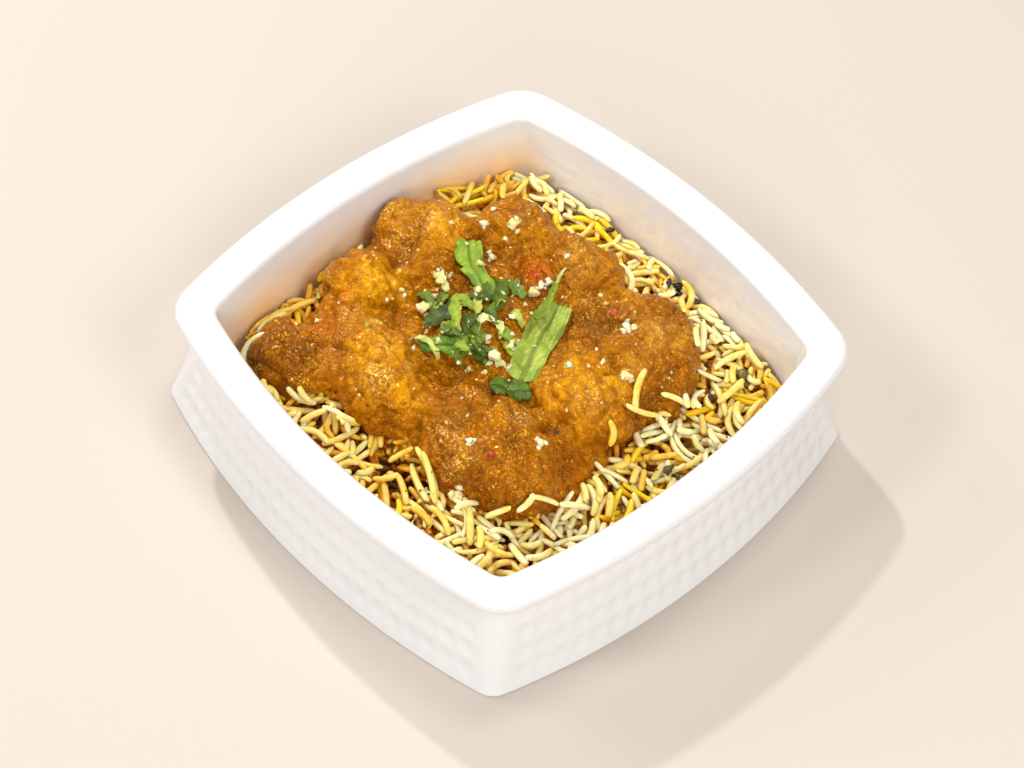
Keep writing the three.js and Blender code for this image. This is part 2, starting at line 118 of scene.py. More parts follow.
floor_bm = bmesh.new()
bmesh.ops.create_grid(floor_bm, x_segments=1, y_segments=1, size=4)
floor_mesh = bpy.data.meshes.new("floor")
floor_bm.to_mesh(floor_mesh)
floor_bm.free()
floor = bpy.data.objects.new("floor", floor_mesh)
bpy.context.scene.collection.objects.link(floor)
floor_material = bpy.data.materials.new("pale_floor")
floor_material.use_nodes = True
floor_shader = floor_material.node_tree.nodes["Principled BSDF"]
floor_shader.inputs["Base Color"].default_value = (0.56, 0.50, 0.44, 1)
floor_shader.inputs["Roughness"].default_value = 0.7
floor_mesh.materials.append(floor_material)
print("six lamps, a sky and a floor")

# %% [markdown]
# ## Helpers
#
# Every piece ends the same way: its bmesh becomes a mesh, the mesh an object, and the object rides on the
# one body of this part. Materials are short chains of nodes, so a small class adds a node and joins it
# up. Where a colour depends on the place, a number is kept on the vertices and read back as an attribute.

# %% From bmesh to piece
def finish_piece(name, bm, material):
    mesh = bpy.data.meshes.new(name)
    bm.to_mesh(mesh)
    bm.free()
    return mesh_piece(name, mesh, material)


def mesh_piece(name, mesh, material, crisp=None):
    """crisp is the angle in degrees above which an edge shows as an edge."""
    mesh.polygons.foreach_set("use_smooth", [True] * len(mesh.polygons))
    if crisp is not None:
        mesh.set_sharp_from_angle(angle=math.radians(crisp))
    mesh.materials.append(material)
    piece = bpy.data.objects.new(name, mesh)
    bpy.context.scene.collection.objects.link(piece)
    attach(piece, "root")
    print(name, len(mesh.polygons), "faces")
    return piece


# %% Building a material
class NodeChain:
    """A material under construction. Positions are Object coordinates, in metres."""

    def __init__(self, name):
        self.material = bpy.data.materials.new(name)
        self.material.use_nodes = True
        self.tree = self.material.node_tree
        self.shader = self.tree.nodes["Principled BSDF"]
        self.place = self.tree.nodes.new("ShaderNodeTexCoord").outputs["Object"]

    def set(self, **values):
        for name, value in values.items():
            self.shader.inputs[name.replace("_", " ")].default_value = value

    def add(self, kind, inputs=(), **settings):
        node = self.tree.nodes.new(kind)
        for name, value in settings.items():
            setattr(node, name, value)
        for name, value in dict(inputs).items():
            if isinstance(value, bpy.types.NodeSocket):
                self.tree.links.new(value, node.inputs[name])
            else:
                node.inputs[name].default_value = value
        return node

    def noise(self, per_mm, detail=2.0, roughness=0.5, place=None):
        inputs = {"Vector": place or self.place, "Scale": per_mm / MM}
        inputs |= {"Detail": detail, "Roughness": roughness}
        return self.add("ShaderNodeTexNoise", inputs).outputs["Fac"]

    def attribute(self, name):
        return self.add("ShaderNodeAttribute", attribute_name=name).outputs["Fac"]

    def ramp(self, value, stops):
        node = self.add("ShaderNodeValToRGB", {"Fac": value})
        elements = node.color_ramp.elements
        while len(elements) < len(stops):
            elements.new(0.5)
        for element, (position, colour) in zip(elements, stops):
            element.position = position
            element.color = (*colour, 1) if hasattr(colour, "__len__") else (colour, colour, colour, 1)
        return node.outputs["Color"]

    def mix(self, share, first, second, blend="MIX"):
        node = self.add("ShaderNodeMix", data_type="RGBA", blend_type=blend)
        for index, value in ((0, share), (6, first), (7, second)):
            if isinstance(value, bpy.types.NodeSocket):
                self.tree.links.new(value, node.inputs[index])
            elif index == 0:
                node.inputs[0].default_value = value
            else:
                node.inputs[index].default_value = (*value, 1)
        return node.outputs[2]

    def maths(self, operation, *values):
        return self.add("ShaderNodeMath", dict(enumerate(values)), operation=operation).outputs[0]

    def give(self, name, socket):
        self.tree.links.new(socket, self.shader.inputs[name])

    def bump(self, height, depth_mm, strength=1.0, under=None):
        inputs = {"Height": height, "Distance": depth_mm * MM, "Strength": strength}
        if under is not None:
            inputs["Normal"] = under
        return self.add("ShaderNodeBump", inputs).outputs["Normal"]


def vertex_array(mesh, of="vertices", what="co"):
    values = np.empty(len(mesh.vertices) * 3)
    getattr(mesh, of).foreach_get(what, values)
    return values.reshape(-1, 3)


def give_attribute(mesh, name, values):
    attribute = mesh.attributes.new(name, "FLOAT", "POINT")
    attribute.data.foreach_set("value", np.asarray(values, dtype=float))


print("helpers ready")

# %% [markdown]
# ## The dish
#
# Porcelain like this is pressed in a mould, so its walls carry sharp, regular relief under a soft glaze.
# It could be lofted from curves or cut from a rounded box. Here it starts as one flat grid, like a sheet
# of clay: the grid's columns run round the dish and its rows run along the section, from under the foot,
# up the outer wall, over the rim and down to the floor. Each vertex is then moved to its place on a bowed
# square, which is four wide arcs joined by four small ones.

# %% Sizes of the dish, in millimetres
RIM_TOP = 40.5
RIM_HALF = 80.5
RIM_DIP = 1.6
RIM_ROUNDING = 2.4
LIP_HEIGHT = 4.2
LIP_ROUNDING = 1.0
NECK_HALF = 74.0
NECK_HEIGHT = RIM_TOP - LIP_HEIGHT - 2.0
BASE_HALF = 83.2
BASE_ROUNDING = 1.2
BODY_CURVE = 0.8
OPENING_HALF = 69.2
OPENING_ROUNDING = 2.2
FLOOR_HALF = 64.5
FLOOR_HEIGHT = 5.0
FLOOR_ROUNDING = 4.0
FOOT_WIDTH = 6.0
FOOT_HEIGHT = 1.5
RIM_OUTLINE = (254.0, 12.8)
BASE_OUTLINE = (247.0, 7.4)
OPENING_OUTLINE = (234.0, 4.6)
SIDE_COLUMNS = 176
CORNER_COLUMNS = 12
COLUMNS = 4 * (SIDE_COLUMNS + CORNER_COLUMNS)
print("the dish is", 2 * BASE_HALF, "mm wide at its base and", 2 * RIM_HALF, "mm at its rim")


def body_half(height):
    return BASE_HALF - (BASE_HALF - NECK_HALF) * (height / NECK_HEIGHT) ** BODY_CURVE


def inner_half(height):
    share = (height - FLOOR_HEIGHT) / (RIM_TOP - FLOOR_HEIGHT)
    return FLOOR_HALF + (OPENING_HALF - FLOOR_HALF) * share


# %% The bowed outline
def bowed_square(half, outline):
    """Points round a bowed square, as an array of x and y, with COLUMNS of them."""
    side, corner = outline
    arc_centre = half - side
    reach = side - corner
    corner_centre = (arc_centre + math.sqrt(2 * reach**2 - arc_centre**2)) / 2
    side_angle = math.atan2(corner_centre, corner_centre - arc_centre)
    along = np.linspace(-side_angle, side_angle, SIDE_COLUMNS, endpoint=False)
    round_corner = np.linspace(side_angle, math.pi / 2 - side_angle, CORNER_COLUMNS, endpoint=False)
    x = np.concatenate((arc_centre + side * np.cos(along), corner_centre + corner * np.cos(round_corner)))
    y = np.concatenate((side * np.sin(along), corner_centre + corner * np.sin(round_corner)))
    quarters = [(x, y), (-y, x), (-x, -y), (y, -x)]
    return np.concatenate([np.column_stack(quarter) for quarter in quarters])


def quarter_round(radius, steps=6):
    """How far in and how far down each place on a rounded edge lies from the sharp corner."""
    angles = np.linspace(0, math.pi / 2, steps + 1)
    return [(radius * (1 - math.cos(a)), radius * (1 - math.sin(a))) for a in angles]


rim_corner = np.hypot(*bowed_square(RIM_HALF, RIM_OUTLINE).T).max()
print("the rim's corners stand", round(rim_corner, 1), "mm from the middle")


# %% [markdown]
# The section is a list of rows, each with the dish's half width there, the height and the outline it has:
# the side's radius and the corner's. The foot's, the lip's and the rim's edges are quarter rounds.

# %% The section
BODY_ROWS = 44
NECK_SHARES = (0.25, 0.5, 0.75)
WALL_HEIGHTS = (33, 28, 23, 18, 13, FLOOR_HEIGHT + FLOOR_ROUNDING)


def dish_section():
    foot = BASE_HALF - FOOT_WIDTH
    rows = [(foot - FOOT_HEIGHT, FOOT_HEIGHT, BASE_OUTLINE), (foot, 0, BASE_OUTLINE)]
    rows += [(body_half(up) - i, up, BASE_OUTLINE) for i, up in reversed(quarter_round(BASE_ROUNDING))]
    for step in range(1, BODY_ROWS + 1):
        height = BASE_ROUNDING + (NECK_HEIGHT - BASE_ROUNDING) * step / BODY_ROWS
        corner = BASE_OUTLINE[1] + (RIM_OUTLINE[1] - BASE_OUTLINE[1]) * height / NECK_HEIGHT
        rows.append((body_half(height), height, (BASE_OUTLINE[0], corner)))
    lip_foot = RIM_TOP - LIP_HEIGHT
    for share in NECK_SHARES:
        half = NECK_HALF + (RIM_HALF - LIP_ROUNDING - NECK_HALF) * share**1.5
        rows.append((half, NECK_HEIGHT + (lip_foot - NECK_HEIGHT) * share, RIM_OUTLINE))
    rows += [(RIM_HALF - i, lip_foot + up, RIM_OUTLINE) for i, up in reversed(quarter_round(LIP_ROUNDING))]
    rows += [(RIM_HALF - i, RIM_TOP - down, RIM_OUTLINE) for i, down in quarter_round(RIM_ROUNDING)]
    edge = RIM_TOP - RIM_DIP
    rim_flat = (RIM_HALF - RIM_ROUNDING + OPENING_HALF + OPENING_ROUNDING) / 2
    middle_corner = (RIM_OUTLINE[1] + OPENING_OUTLINE[1]) / 2
    rows.append((rim_flat, RIM_TOP - RIM_DIP * 0.4, (RIM_OUTLINE[0], middle_corner)))
    inner_edge = reversed(quarter_round(OPENING_ROUNDING))
    rows += [(OPENING_HALF + out, edge - down, OPENING_OUTLINE) for out, down in inner_edge]
    for height in WALL_HEIGHTS:
        rows.append((inner_half(height), height, OPENING_OUTLINE))
    for inward, up in quarter_round(FLOOR_ROUNDING)[1:]:
        rows.append((FLOOR_HALF - inward, FLOOR_HEIGHT + up, OPENING_OUTLINE))
    return rows


section = dish_section()
print(len(section), "rows of", COLUMNS, "points")

# %% [markdown]
# The outer walls carry rows of round dimples. Each is a shallow dent with a soft edge, so it is made in
# the mesh: a vertex of the wall moves inwards by a bell curve of its distance from the nearest dimple's
# middle. The columns of dimples stand closer together as the wall narrows, and none of them reaches a
# corner.

# %% Dimples
DIMPLE_ROWS = (6.2, 13.0, 19.8, 26.6)
DIMPLE_REACH = 10
DIMPLE_RADIUS = 3.2
DIMPLE_DEPTH = 0.42
DIMPLE_PITCH = 0.0766


def dimple_depth(along, height):
    """Depth of the relief at a place on the wall, along being the distance from the side's middle."""
    pitch = DIMPLE_PITCH * body_half(height)
    column = max(-DIMPLE_REACH, min(DIMPLE_REACH, round(along / pitch)))
    row = min(DIMPLE_ROWS, key=lambda middle: abs(middle - height))
    away = math.hypot(along - column * pitch, height - row) / DIMPLE_RADIUS
    return DIMPLE_DEPTH * (1 - away**2) ** 1.5 if away < 1 else 0.0


print(len(DIMPLE_ROWS), "rows of", 2 * DIMPLE_REACH + 1, "dimples on each side")


# %% Wrap the grid round the dish
dish_bm = bmesh.new()
bmesh.ops.create_grid(dish_bm, x_segments=COLUMNS, y_segments=len(section) - 1, size=1)
rings = [bowed_square(half, outline) for half, height, outline in section]
for vertex in dish_bm.verts:
    column = round((vertex.co.x + 1) / 2 * COLUMNS) % COLUMNS
    row = round((vertex.co.y + 1) / 2 * (len(section) - 1))
    half, height, outline = section[row]
    x, y = rings[row][column]
    if BASE_ROUNDING < height < NECK_HEIGHT and half > NECK_HALF:
        quarter, place = divmod(column, SIDE_COLUMNS + CORNER_COLUMNS)
        if place < SIDE_COLUMNS:
            along = (y, -x, -y, x)[quarter]
            inward = 1 - dimple_depth(along, height) / math.hypot(x, y)
            x, y = x * inward, y * inward
    vertex.co = Vector((x, y, height)) * MM
bmesh.ops.remove_doubles(dish_bm, verts=dish_bm.verts, dist=1e-6)
bmesh.ops.holes_fill(dish_bm, edges=[edge for edge in dish_bm.edges if edge.is_boundary], sides=0)
bmesh.ops.recalc_face_normals(dish_bm, faces=dish_bm.faces)
print("open edges:", sum(edge.is_boundary for edge in dish_bm.edges))

# %% [markdown]
# Glaze is white, smooth and hard. Two faint noises keep it from looking like plastic: one shifts the
# white a little, and one gives the glaze the slow waves that show in a reflection. Inside, painted bounce
# light warms the glaze: the glow that the orange food throws on the walls is put into their colour. It is
# strongest low on the -X wall. An attribute on the vertices says where: only on those that face the
# dish's middle, fading with height and away from that wall.

# %% Porcelain
# The warm colour here is painted bounce light: the glow that the orange food throws on the inner walls.
BOUNCE_TOP = 38.0
BOUNCE_FADE = 16.0
PAINTED_BOUNCE = (1.0, 0.61, 0.19)


def porcelain():
    chain = NodeChain("white_glaze")
    whites = [(0.35, (0.725, 0.725, 0.735)), (0.65, (0.75, 0.75, 0.76))]
    white = chain.ramp(chain.noise(0.02, detail=1), whites)
    cloud = chain.ramp(chain.noise(0.05, detail=2), [(0.35, 0.55), (0.65, 1.0)])
    # Painted bounce light, where the attribute and a noise say.
    painted_bounce = chain.maths("MULTIPLY", chain.attribute("painted_bounce"), cloud)
    chain.give("Base Color", chain.mix(painted_bounce, white, PAINTED_BOUNCE))
    chain.set(Roughness=0.16, IOR=1.5, Coat_Weight=0.35, Coat_Roughness=0.05)
    chain.give("Normal", chain.bump(chain.noise(0.12, detail=1), depth_mm=0.08))
    return chain.material


dish = finish_piece("porcelain_dish", dish_bm, porcelain())
dish_points = vertex_array(dish.data) / MM
dish_normals = vertex_array(dish.data, "vertex_normals", "vector")
outward = np.sum(dish_normals[:, :2] * dish_points[:, :2], axis=1)
# Where the painted bounce light goes: inner walls, low down, strongest on the -X wall.
inside = (outward < 0) & (dish_points[:, 2] > 2 * FLOOR_HEIGHT)
low = np.clip((BOUNCE_TOP - dish_points[:, 2]) / BOUNCE_FADE, 0, 1)
wall_side = np.clip(-dish_points[:, 0] / 20 - 2.2, 0.14, 1)
give_attribute(dish.data, "painted_bounce", 0.95 * inside * low**1.5 * wall_side)
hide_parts("dish")
print("film on", round(100 * inside.mean()), "% of the dish's points")

# %% [markdown]
# ## Gravy and meat
#
# The chunks lie in the gravy and are coated with it, so from outside they are one skin: lumps that flow
# into each other, with creases between them. They could be sculpted one by one. Here the frame's chunks
# and its gravy are copied, swollen until they overlap, melted together with a voxel remesh and shrunk
# again. The swelling closes the narrow valleys, so the gravy fills them with a soft fillet, as it does in
# the dish. The flat underside can't be seen: it is cut off, and the rim is drawn down into the rice
# instead.

# %% Melt chunks and gravy together
SWELL = 4.2
SHRINK = 3.85
FIRST_VOXEL = 0.6
VOXEL = 0.48
DEEPER = 5.0
UNDERSIDE = 16.8
RIM_STEPS = 8
RIM_STEP = 0.5
RIM_DRIFT = 0.12

chunk_names = sorted(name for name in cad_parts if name.startswith("meat_"))


def swollen_copy(bm, name, swell):
    """Adds a copy of a CAD node, smoothed once, pushed outwards and with its underside lowered."""
    part = bmesh.new()
    part.from_mesh(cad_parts[name].data)
    bmesh.ops.remove_doubles(part, verts=part.verts, dist=1e-5)
    bmesh.ops.subdivide_edges(part, edges=part.edges, cuts=2, smooth=0.9, use_grid_fill=True)
    every_axis = {"use_axis_x": True, "use_axis_y": True, "use_axis_z": True}
    bmesh.ops.smooth_vert(part, verts=part.verts, factor=0.5, **every_axis)
    part.normal_update()
    for vertex in part.verts:
        down = DEEPER if vertex.normal.z < -0.3 else 0
        vertex.co += (vertex.normal * swell + Vector((0, 0, -down))) * MM
    scratch = bpy.data.meshes.new("scratch")
    part.to_mesh(scratch)
    part.free()
    bm.from_mesh(scratch)
    bpy.data.meshes.remove(scratch)


def modified_mesh(mesh, modifiers):
    """The mesh after a row of modifiers, each a type and its settings."""
    holder = bpy.data.objects.new("holder", mesh)
    bpy.context.scene.collection.objects.link(holder)
    for kind, settings in modifiers:
        modifier = holder.modifiers.new(kind.lower(), kind)
        for name, value in settings.items():
            setattr(modifier, name, value)
    bpy.context.view_layer.update()
    result = bpy.data.meshes.new_from_object(holder.evaluated_get(bpy.context.evaluated_depsgraph_get()))
    bpy.data.objects.remove(holder)
    return result


melt_bm = bmesh.new()
for name in chunk_names:
    swollen_copy(melt_bm, name, SWELL)
swollen_copy(melt_bm, "gravy", SWELL)
melt_mesh = bpy.data.meshes.new("melt")
melt_bm.to_mesh(melt_mesh)
melt_bm.free()
curry_mesh = modified_mesh(melt_mesh, [
    ("REMESH", {"mode": "VOXEL", "voxel_size": FIRST_VOXEL * MM}),
    ("SMOOTH", {"factor": 0.5, "iterations": 8}),
    ("DISPLACE", {"strength": -SHRINK * MM, "mid_level": 0}),
    ("SMOOTH", {"factor": 0.5, "iterations": 12}),
    ("REMESH", {"mode": "VOXEL", "voxel_size": VOXEL * MM}),
    ("SMOOTH", {"factor": 0.5, "iterations": 4}),
])


def sink_rim(mesh):
    """Cuts the underside off and draws the rim down, a little inwards, to a flat floor."""
    bm = bmesh.new()
    bm.from_mesh(mesh)
    everything = bm.verts[:] + bm.edges[:] + bm.faces[:]
    cut = {"plane_co": (0, 0, UNDERSIDE * MM), "plane_no": (0, 0, 1), "clear_inner": True}
    bmesh.ops.bisect_plane(bm, geom=everything, **cut)
    rim = [edge for edge in bm.edges if edge.is_boundary]
    for _ in range(RIM_STEPS):
        raised = bmesh.ops.extrude_edge_only(bm, edges=rim)["geom"]
        rim = [item for item in raised if isinstance(item, bmesh.types.BMEdge)]
        for vertex in (item for item in raised if isinstance(item, bmesh.types.BMVert)):
            drift = -RIM_DRIFT if vertex.co.x > -0.01 else RIM_DRIFT
            vertex.co += Vector((drift * MM, 0, -RIM_STEP * MM))
    bmesh.ops.holes_fill(bm, edges=rim, sides=0)
    bmesh.ops.recalc_face_normals(bm, faces=bm.faces)
    bm.to_mesh(mesh)
    bm.free()
    mesh.update()


sink_rim(curry_mesh)
print("melted surface:", len(curry_mesh.vertices), "vertices")

# %% [markdown]
# The melted surface still looks like plastic. Gravy carries ground onion and spice, so its surface is
# lumpy at every size. Four noises of falling size, and two sizes of rounded clods with creases between
# them, push each vertex in or out along its normal. The meat that pokes out of the gravy is smoother, so
# the fine noise is weaker there. Places with a look of their own are listed as x, y, reach and amount:
# bare meat, golden gravy, dark gravy whose small spots on the dents are painted shade, painted
# highlights, chilli red, and the dents and ridges that noise won't give.

# %% Lumps and grain
LUMPS = ((13.0, 1.4), (5.5, 0.8), (2.8, 0.5), (1.5, 0.34))
CLODS = ((9.5, 1.5), (4.4, 0.4))
EDGE_WAVES = 2.2
MEAT_BARE = (
    (-10.5, 37.5, 8, 1.0), (27, 36, 13, 0.75), (-60.5, 8.5, 6, 0.7), (30, 20, 3.5, 0.9),
    (-12, -29.5, 2.6, 1.3), (6, 32, 8, 0.5), (-47, 22, 6, 0.4),
)
GOLDEN = (
    (-20, -32, 12, 0.4), (-46, 13, 11, 0.5), (24, 4, 12, 0.42), (-44, -17, 9, 0.5), (-28, 38, 7, 0.25),
    (-46, -33, 8, 0.15), (-5, -40, 7, 0.3), (8, 38, 7, 0.25),
)
# Dark gravy tone; the small spots that sit on the dents darken them as painted shade.
DARK_TONE_AND_DENT_SHADE = (
    (4, -26, 8, 0.22), (-20, 24, 8, 0.22), (28, -32, 8, 0.15), (-38, 10, 8, 0.25), (2, 30, 8, 0.2),
    (-49, 2, 3.4, 0.6), (-51.5, 9, 3, 0.4), (-47, -4, 3, 0.4), (-42, -50, 12, 0.4), (12, 27, 8, 0.6),
    (30, -11, 4, 0.5), (8, -17, 5, 0.2), (-26, 6, 7, 0.25), (-38, 20, 5, 0.3), (36, -36, 8, 0.2),
    (-8, -43, 5, 0.35), (8, -34, 4, 0.2), (40, 20, 6, 0.25),
)
# Patches of painted highlight on the gravy.
PAINTED_HIGHLIGHTS = (
    (-15, -38, 3.5, 1), (-20, -31, 2.5, 0.6), (13, -36, 3.5, 0.7), (20, -39, 3, 0.8),
    (22.6, -17.8, 3.5, 0.8), (31.4, 1.4, 4, 0.5), (-50, 12, 4, 0.6), (-40, -28, 3, 0.5),
    (-54, 2, 3, 0.6), (-28, -26, 3, 0.4),
)
RED = ((-19, 27, 3.2, 0.6), (-14, 29, 3, 0.3), (-42, -35, 4, 0.4), (-45, -26, 3, 0.3), (14, 20, 3, 0.2))
DENTS = (
    (-8, -43, 5, -2.2), (30, -11, 4, -1.6), (14, 24, 7, -1.2), (25, 21.5, 3.5, 1.4), (31, 19, 3.5, 1.4),
    (36, 14, 3.5, 1.0), (8, -17, 4.5, -1.2), (-2, -19, 4, -1.0), (-12, -29.5, 2.6, 0.9),
    (-20, 36, 4, -1.2), (-49, 3, 3, -2.6), (-48, -2, 3, -2.4), (-51.5, 9, 3, -2.0),
    (-43, -8.6, 3, -1.4),
)


def spots(x, y, places):
    """Sum of soft round spots at a place or at arrays of places."""
    total = 0
    for px, py, reach, amount in places:
        total = total + amount * np.exp(-((x - px) ** 2 + (y - py) ** 2) / reach**2)
    return total


def noise_array(points, size, shift=0.0):
    """Noise between -1 and 1 at every point, its lumps about as wide as size; both in mm."""
    return np.array([noise.noise(Vector(point)) for point in points / size + shift])


def clod_array(points, size):
    """Rounded clods about as wide as size, with creases where they meet: 0 in a crease and 1 on top."""
    heights = []
    for point in points / size:
        place = Vector(point)
        distances = noise.voronoi(place + 0.35 * noise.noise_vector(place * 1.7))[0]
        share = min(1.0, (distances[1] - distances[0]) * 1.5)
        heights.append(share * (2 - share))
    return np.array(heights)


def curry_spots(places):
    return spots(points[:, 0], points[:, 1], places)


def lumps(sizes):
    return sum(depth * noise_array(points, size, 7.0 * size) for size, depth in sizes)


points = vertex_array(curry_mesh) / MM
normals = vertex_array(curry_mesh, "vertex_normals", "vector")
bare = np.clip(curry_spots(MEAT_BARE), 0, 1)
push = lumps(LUMPS[:2])
push += lumps(LUMPS[2:]) * (1 - 0.4 * bare)
push += sum(depth * (clod_array(points, size) - 0.3) for size, depth in CLODS)
push += EDGE_WAVES * noise_array(points, 7.0, 3.0) * np.clip((27 - points[:, 2]) / 7, 0, 1)
push += curry_spots(DENTS)
curry_mesh.vertices.foreach_set("co", ((points + normals * push[:, None]) * MM).ravel())
curry_mesh.update()
print("pushed from", round(push.min(), 2), "to", round(push.max(), 2), "mm")

# %% [markdown]
# The creases get painted shade: the colour darkens in them. How deep a vertex lies in a crease shows
# when the surface is smoothed hard: there the smooth surface ends up outside the real one. That distance,
# and how bare, golden, red or marked by a painted highlight a place is, are kept on the vertices for the
# material to read.

# %% Creases and bare meat as attributes
MIDDLE_TONE = 0.47

smooth_mesh = modified_mesh(curry_mesh, [("SMOOTH", {"factor": 0.5, "iterations": 90})])
sunk = np.sum((vertex_array(smooth_mesh) / MM - vertex_array(curry_mesh) / MM) * normals, axis=1)
give_attribute(curry_mesh, "sunk", np.clip(0.5 + sunk * 0.35, 0, 1))
give_attribute(curry_mesh, "bare", bare)
# Gravy tone; the dark spots on the dents add painted shade.
give_attribute(curry_mesh, "tone", MIDDLE_TONE + curry_spots(GOLDEN) - curry_spots(DARK_TONE_AND_DENT_SHADE))
# Where the painted highlights go.
give_attribute(curry_mesh, "painted_highlight", np.clip(curry_spots(PAINTED_HIGHLIGHTS), 0, 1))
give_attribute(curry_mesh, "red", np.clip(curry_spots(RED), 0, 1))
print("deepest crease", round(sunk.max(), 2), "mm")

# %% [markdown]
# Masala gravy isn't one orange. A wide noise moves its tone from brown to gold, and a fine one mottles
# it. Over that lie thin layers, each with its own mask: bare meat, painted shade in the creases, pale
# flecks that paint sparkles, painted highlights in the listed patches, dark pits and red chilli. Three
# bumps of falling size make the skin grainy, because the grains of a ground sauce are too small for the
# mesh. The tinted specular keeps reflections warm.

# %% Gravy colours
GRAVY_TONES = [
    (0.05, (0.165, 0.037, 0.0003)), (0.32, (0.285, 0.077, 0.0005)), (0.55, (0.38, 0.120, 0.0005)),
    (0.8, (0.50, 0.184, 0.001)), (1.0, (0.62, 0.28, 0.003)),
]
MOTTLE = [(0.36, (0.66, 0.54, 0.42)), (0.50, (0.95, 0.94, 0.9)), (0.64, (1.15, 1.25, 1.3))]
MEAT_TONES = [(0.35, (0.25, 0.090, 0.008)), (0.62, (0.52, 0.215, 0.022))]
# Painted shade for the creases.
CREASE_SHADE = (0.15, 0.046, 0.001)
# Colour of the painted sparkles.
PAINTED_SPARKLE = (0.98, 0.62, 0.04)
# Colour of the painted highlights.
HIGHLIGHT_GOLD = (1.0, 0.78, 0.30)
PIT_BROWN = (0.20, 0.060, 0.002)
CHILLI = (0.62, 0.045, 0.004)
WARM_GLINT = (1, 0.62, 0.08, 1)


def gravy_material():
    chain = NodeChain("masala_gravy")
    shifted = {0: chain.place, 1: (0.31, 0.17, 0.05)}
    aside = chain.add("ShaderNodeVectorMath", shifted, operation="ADD").outputs[0]
    wide = chain.noise(0.11, detail=3)
    fine = chain.noise(0.55, detail=3, roughness=0.6)
    shift = chain.maths("MULTIPLY", chain.maths("SUBTRACT", wide, 0.5), 1.1)
    tone = chain.maths("ADD", chain.attribute("tone"), shift)
    base = chain.mix(0.8, chain.ramp(tone, GRAVY_TONES), chain.ramp(fine, MOTTLE), "MULTIPLY")
    edge = chain.maths("ADD", chain.attribute("bare"), shift)
    meat = chain.ramp(fine, MEAT_TONES)
    base = chain.mix(chain.ramp(edge, [(0.25, 0.0), (0.85, 0.85)]), base, meat)
    # Painted shade: the colour darkens in the creases.
    creases = chain.ramp(chain.attribute("sunk"), [(0.52, 0.0), (0.9, 0.85)])
    base = chain.mix(creases, base, CREASE_SHADE)
    patches = chain.ramp(chain.noise(0.2, detail=2, place=aside), [(0.42, 0.2), (0.62, 1.0)])
    # Pale flecks in patches: painted sparkles.
    fleck_noise = chain.noise(1.5, detail=2, roughness=0.65, place=aside)
    sparkle_flecks = chain.ramp(fleck_noise, [(0.56, 0.0), (0.67, 0.55)])
    base = chain.mix(chain.maths("MULTIPLY", sparkle_flecks, patches), base, PAINTED_SPARKLE)
    # Painted highlights, in the listed patches.
    highlight_mask = chain.ramp(chain.noise(1.15, detail=2, roughness=0.7), [(0.54, 0.0), (0.62, 0.9)])
    base = chain.mix(chain.maths("MULTIPLY", highlight_mask, chain.attribute("painted_highlight")), base, HIGHLIGHT_GOLD)
    pits = chain.ramp(chain.noise(1.3, detail=2, roughness=0.6), [(0.34, 0.33), (0.43, 0.0)])
    base = chain.mix(pits, base, PIT_BROWN)
    red_spots = chain.ramp(fine, [(0.40, 0.2), (0.6, 1.0)])
    base = chain.mix(chain.maths("MULTIPLY", chain.attribute("red"), red_spots), base, CHILLI)
    chain.give("Base Color", base)
    chain.set(Roughness=0.15, Specular_IOR_Level=0.5, Specular_Tint=WARM_GLINT)
    chain.set(Coat_Weight=0.05, Coat_Roughness=0.07)
    grainy = chain.ramp(chain.noise(0.16, detail=2), [(0.40, 0.25), (0.58, 1.0)])
    waves = chain.bump(chain.noise(0.42, detail=0.5), depth_mm=0.75)
    coarse = chain.noise(0.95, detail=0.5, place=aside)
    grains = chain.bump(coarse, depth_mm=0.44, strength=grainy, under=waves)
    chain.give("Coat Normal", grains)
    powder = chain.noise(1.9, detail=1, place=aside)
    chain.give("Normal", chain.bump(powder, depth_mm=0.17, strength=grainy, under=grains))
    return chain.material


curry = mesh_piece("curry", curry_mesh, gravy_material())
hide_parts("gravy", *chunk_names)

# %% [markdown]
# Everything that lies on the heap asks where the surface is. A ray from above finds the highest of the
# pieces that have been laid so far.

# %% Looking down on what is there already
surfaces = []


def lay(piece):
    """Lets later pieces rest on this one."""
    mesh = piece.data
    faces = [tuple(polygon.vertices) for polygon in mesh.polygons]
    surfaces.append(BVHTree.FromPolygons([vertex.co for vertex in mesh.vertices], faces))


def top_at(x, y):
    """Height of the highest surface at a place, in mm, or 0 where there is none."""
    hits = [tree.ray_cast(Vector((x, y, 60)) * MM, Vector((0, 0, -1)))[0] for tree in surfaces]
    return max([hit.z / MM for hit in hits if hit], default=0.0)


lay(curry)
CELL = 0.5
REACH = 66.0
axis = np.arange(-REACH, REACH + CELL, CELL)
field_x, field_y = np.meshgrid(axis, axis)
curry_top = np.array([[top_at(x, y) for x in axis] for y in axis])
print("heap's highest place:", round(curry_top.max(), 1), "mm")

# %% [markdown]
# ## The rice
#
# Long grains lie criss-cross, each on those below it. Scattering them over a surface leaves them half
# sunk or floating, and a physics run is slow. A height field is the cheap way between: it holds the
# height of the pile's top on a raster of half a millimetre. A grain is tried at a random place and turn,
# and laid like a stick on the highest support on each side of its middle. Then it raises the field where
# it lies. The rice isn't level: hollows are listed as x, y, reach and depth, and a depth below zero
# raises a mound.

# %% How high the rice goes, and where the walls are
RICE_LEVEL = 17.6
HOLLOWS = (
    (-1, -48.5, 5, 5.5), (6.5, -49, 4.8, 5.5), (13, -48, 4, 4.0), (-12, -50, 4, 2.6),
    (49, -41.5, 4.2, 6.0), (53, -38.5, 3.4, 5.0), (52, -50, 3.6, 3.6), (40, -39.5, 3.4, 3.0),
    (-60, 32, 9, -3.5), (-50, 45, 8, -1.8), (-54, -48, 7, -3.5), (43, 38, 3, 2.4), (52, 8, 3, 2.0),
    (-24, -52, 3, 2.0), (56, 34, 3, 2.2), (34, -46, 3, 1.6), (52, -30, 3, 1.8),
)


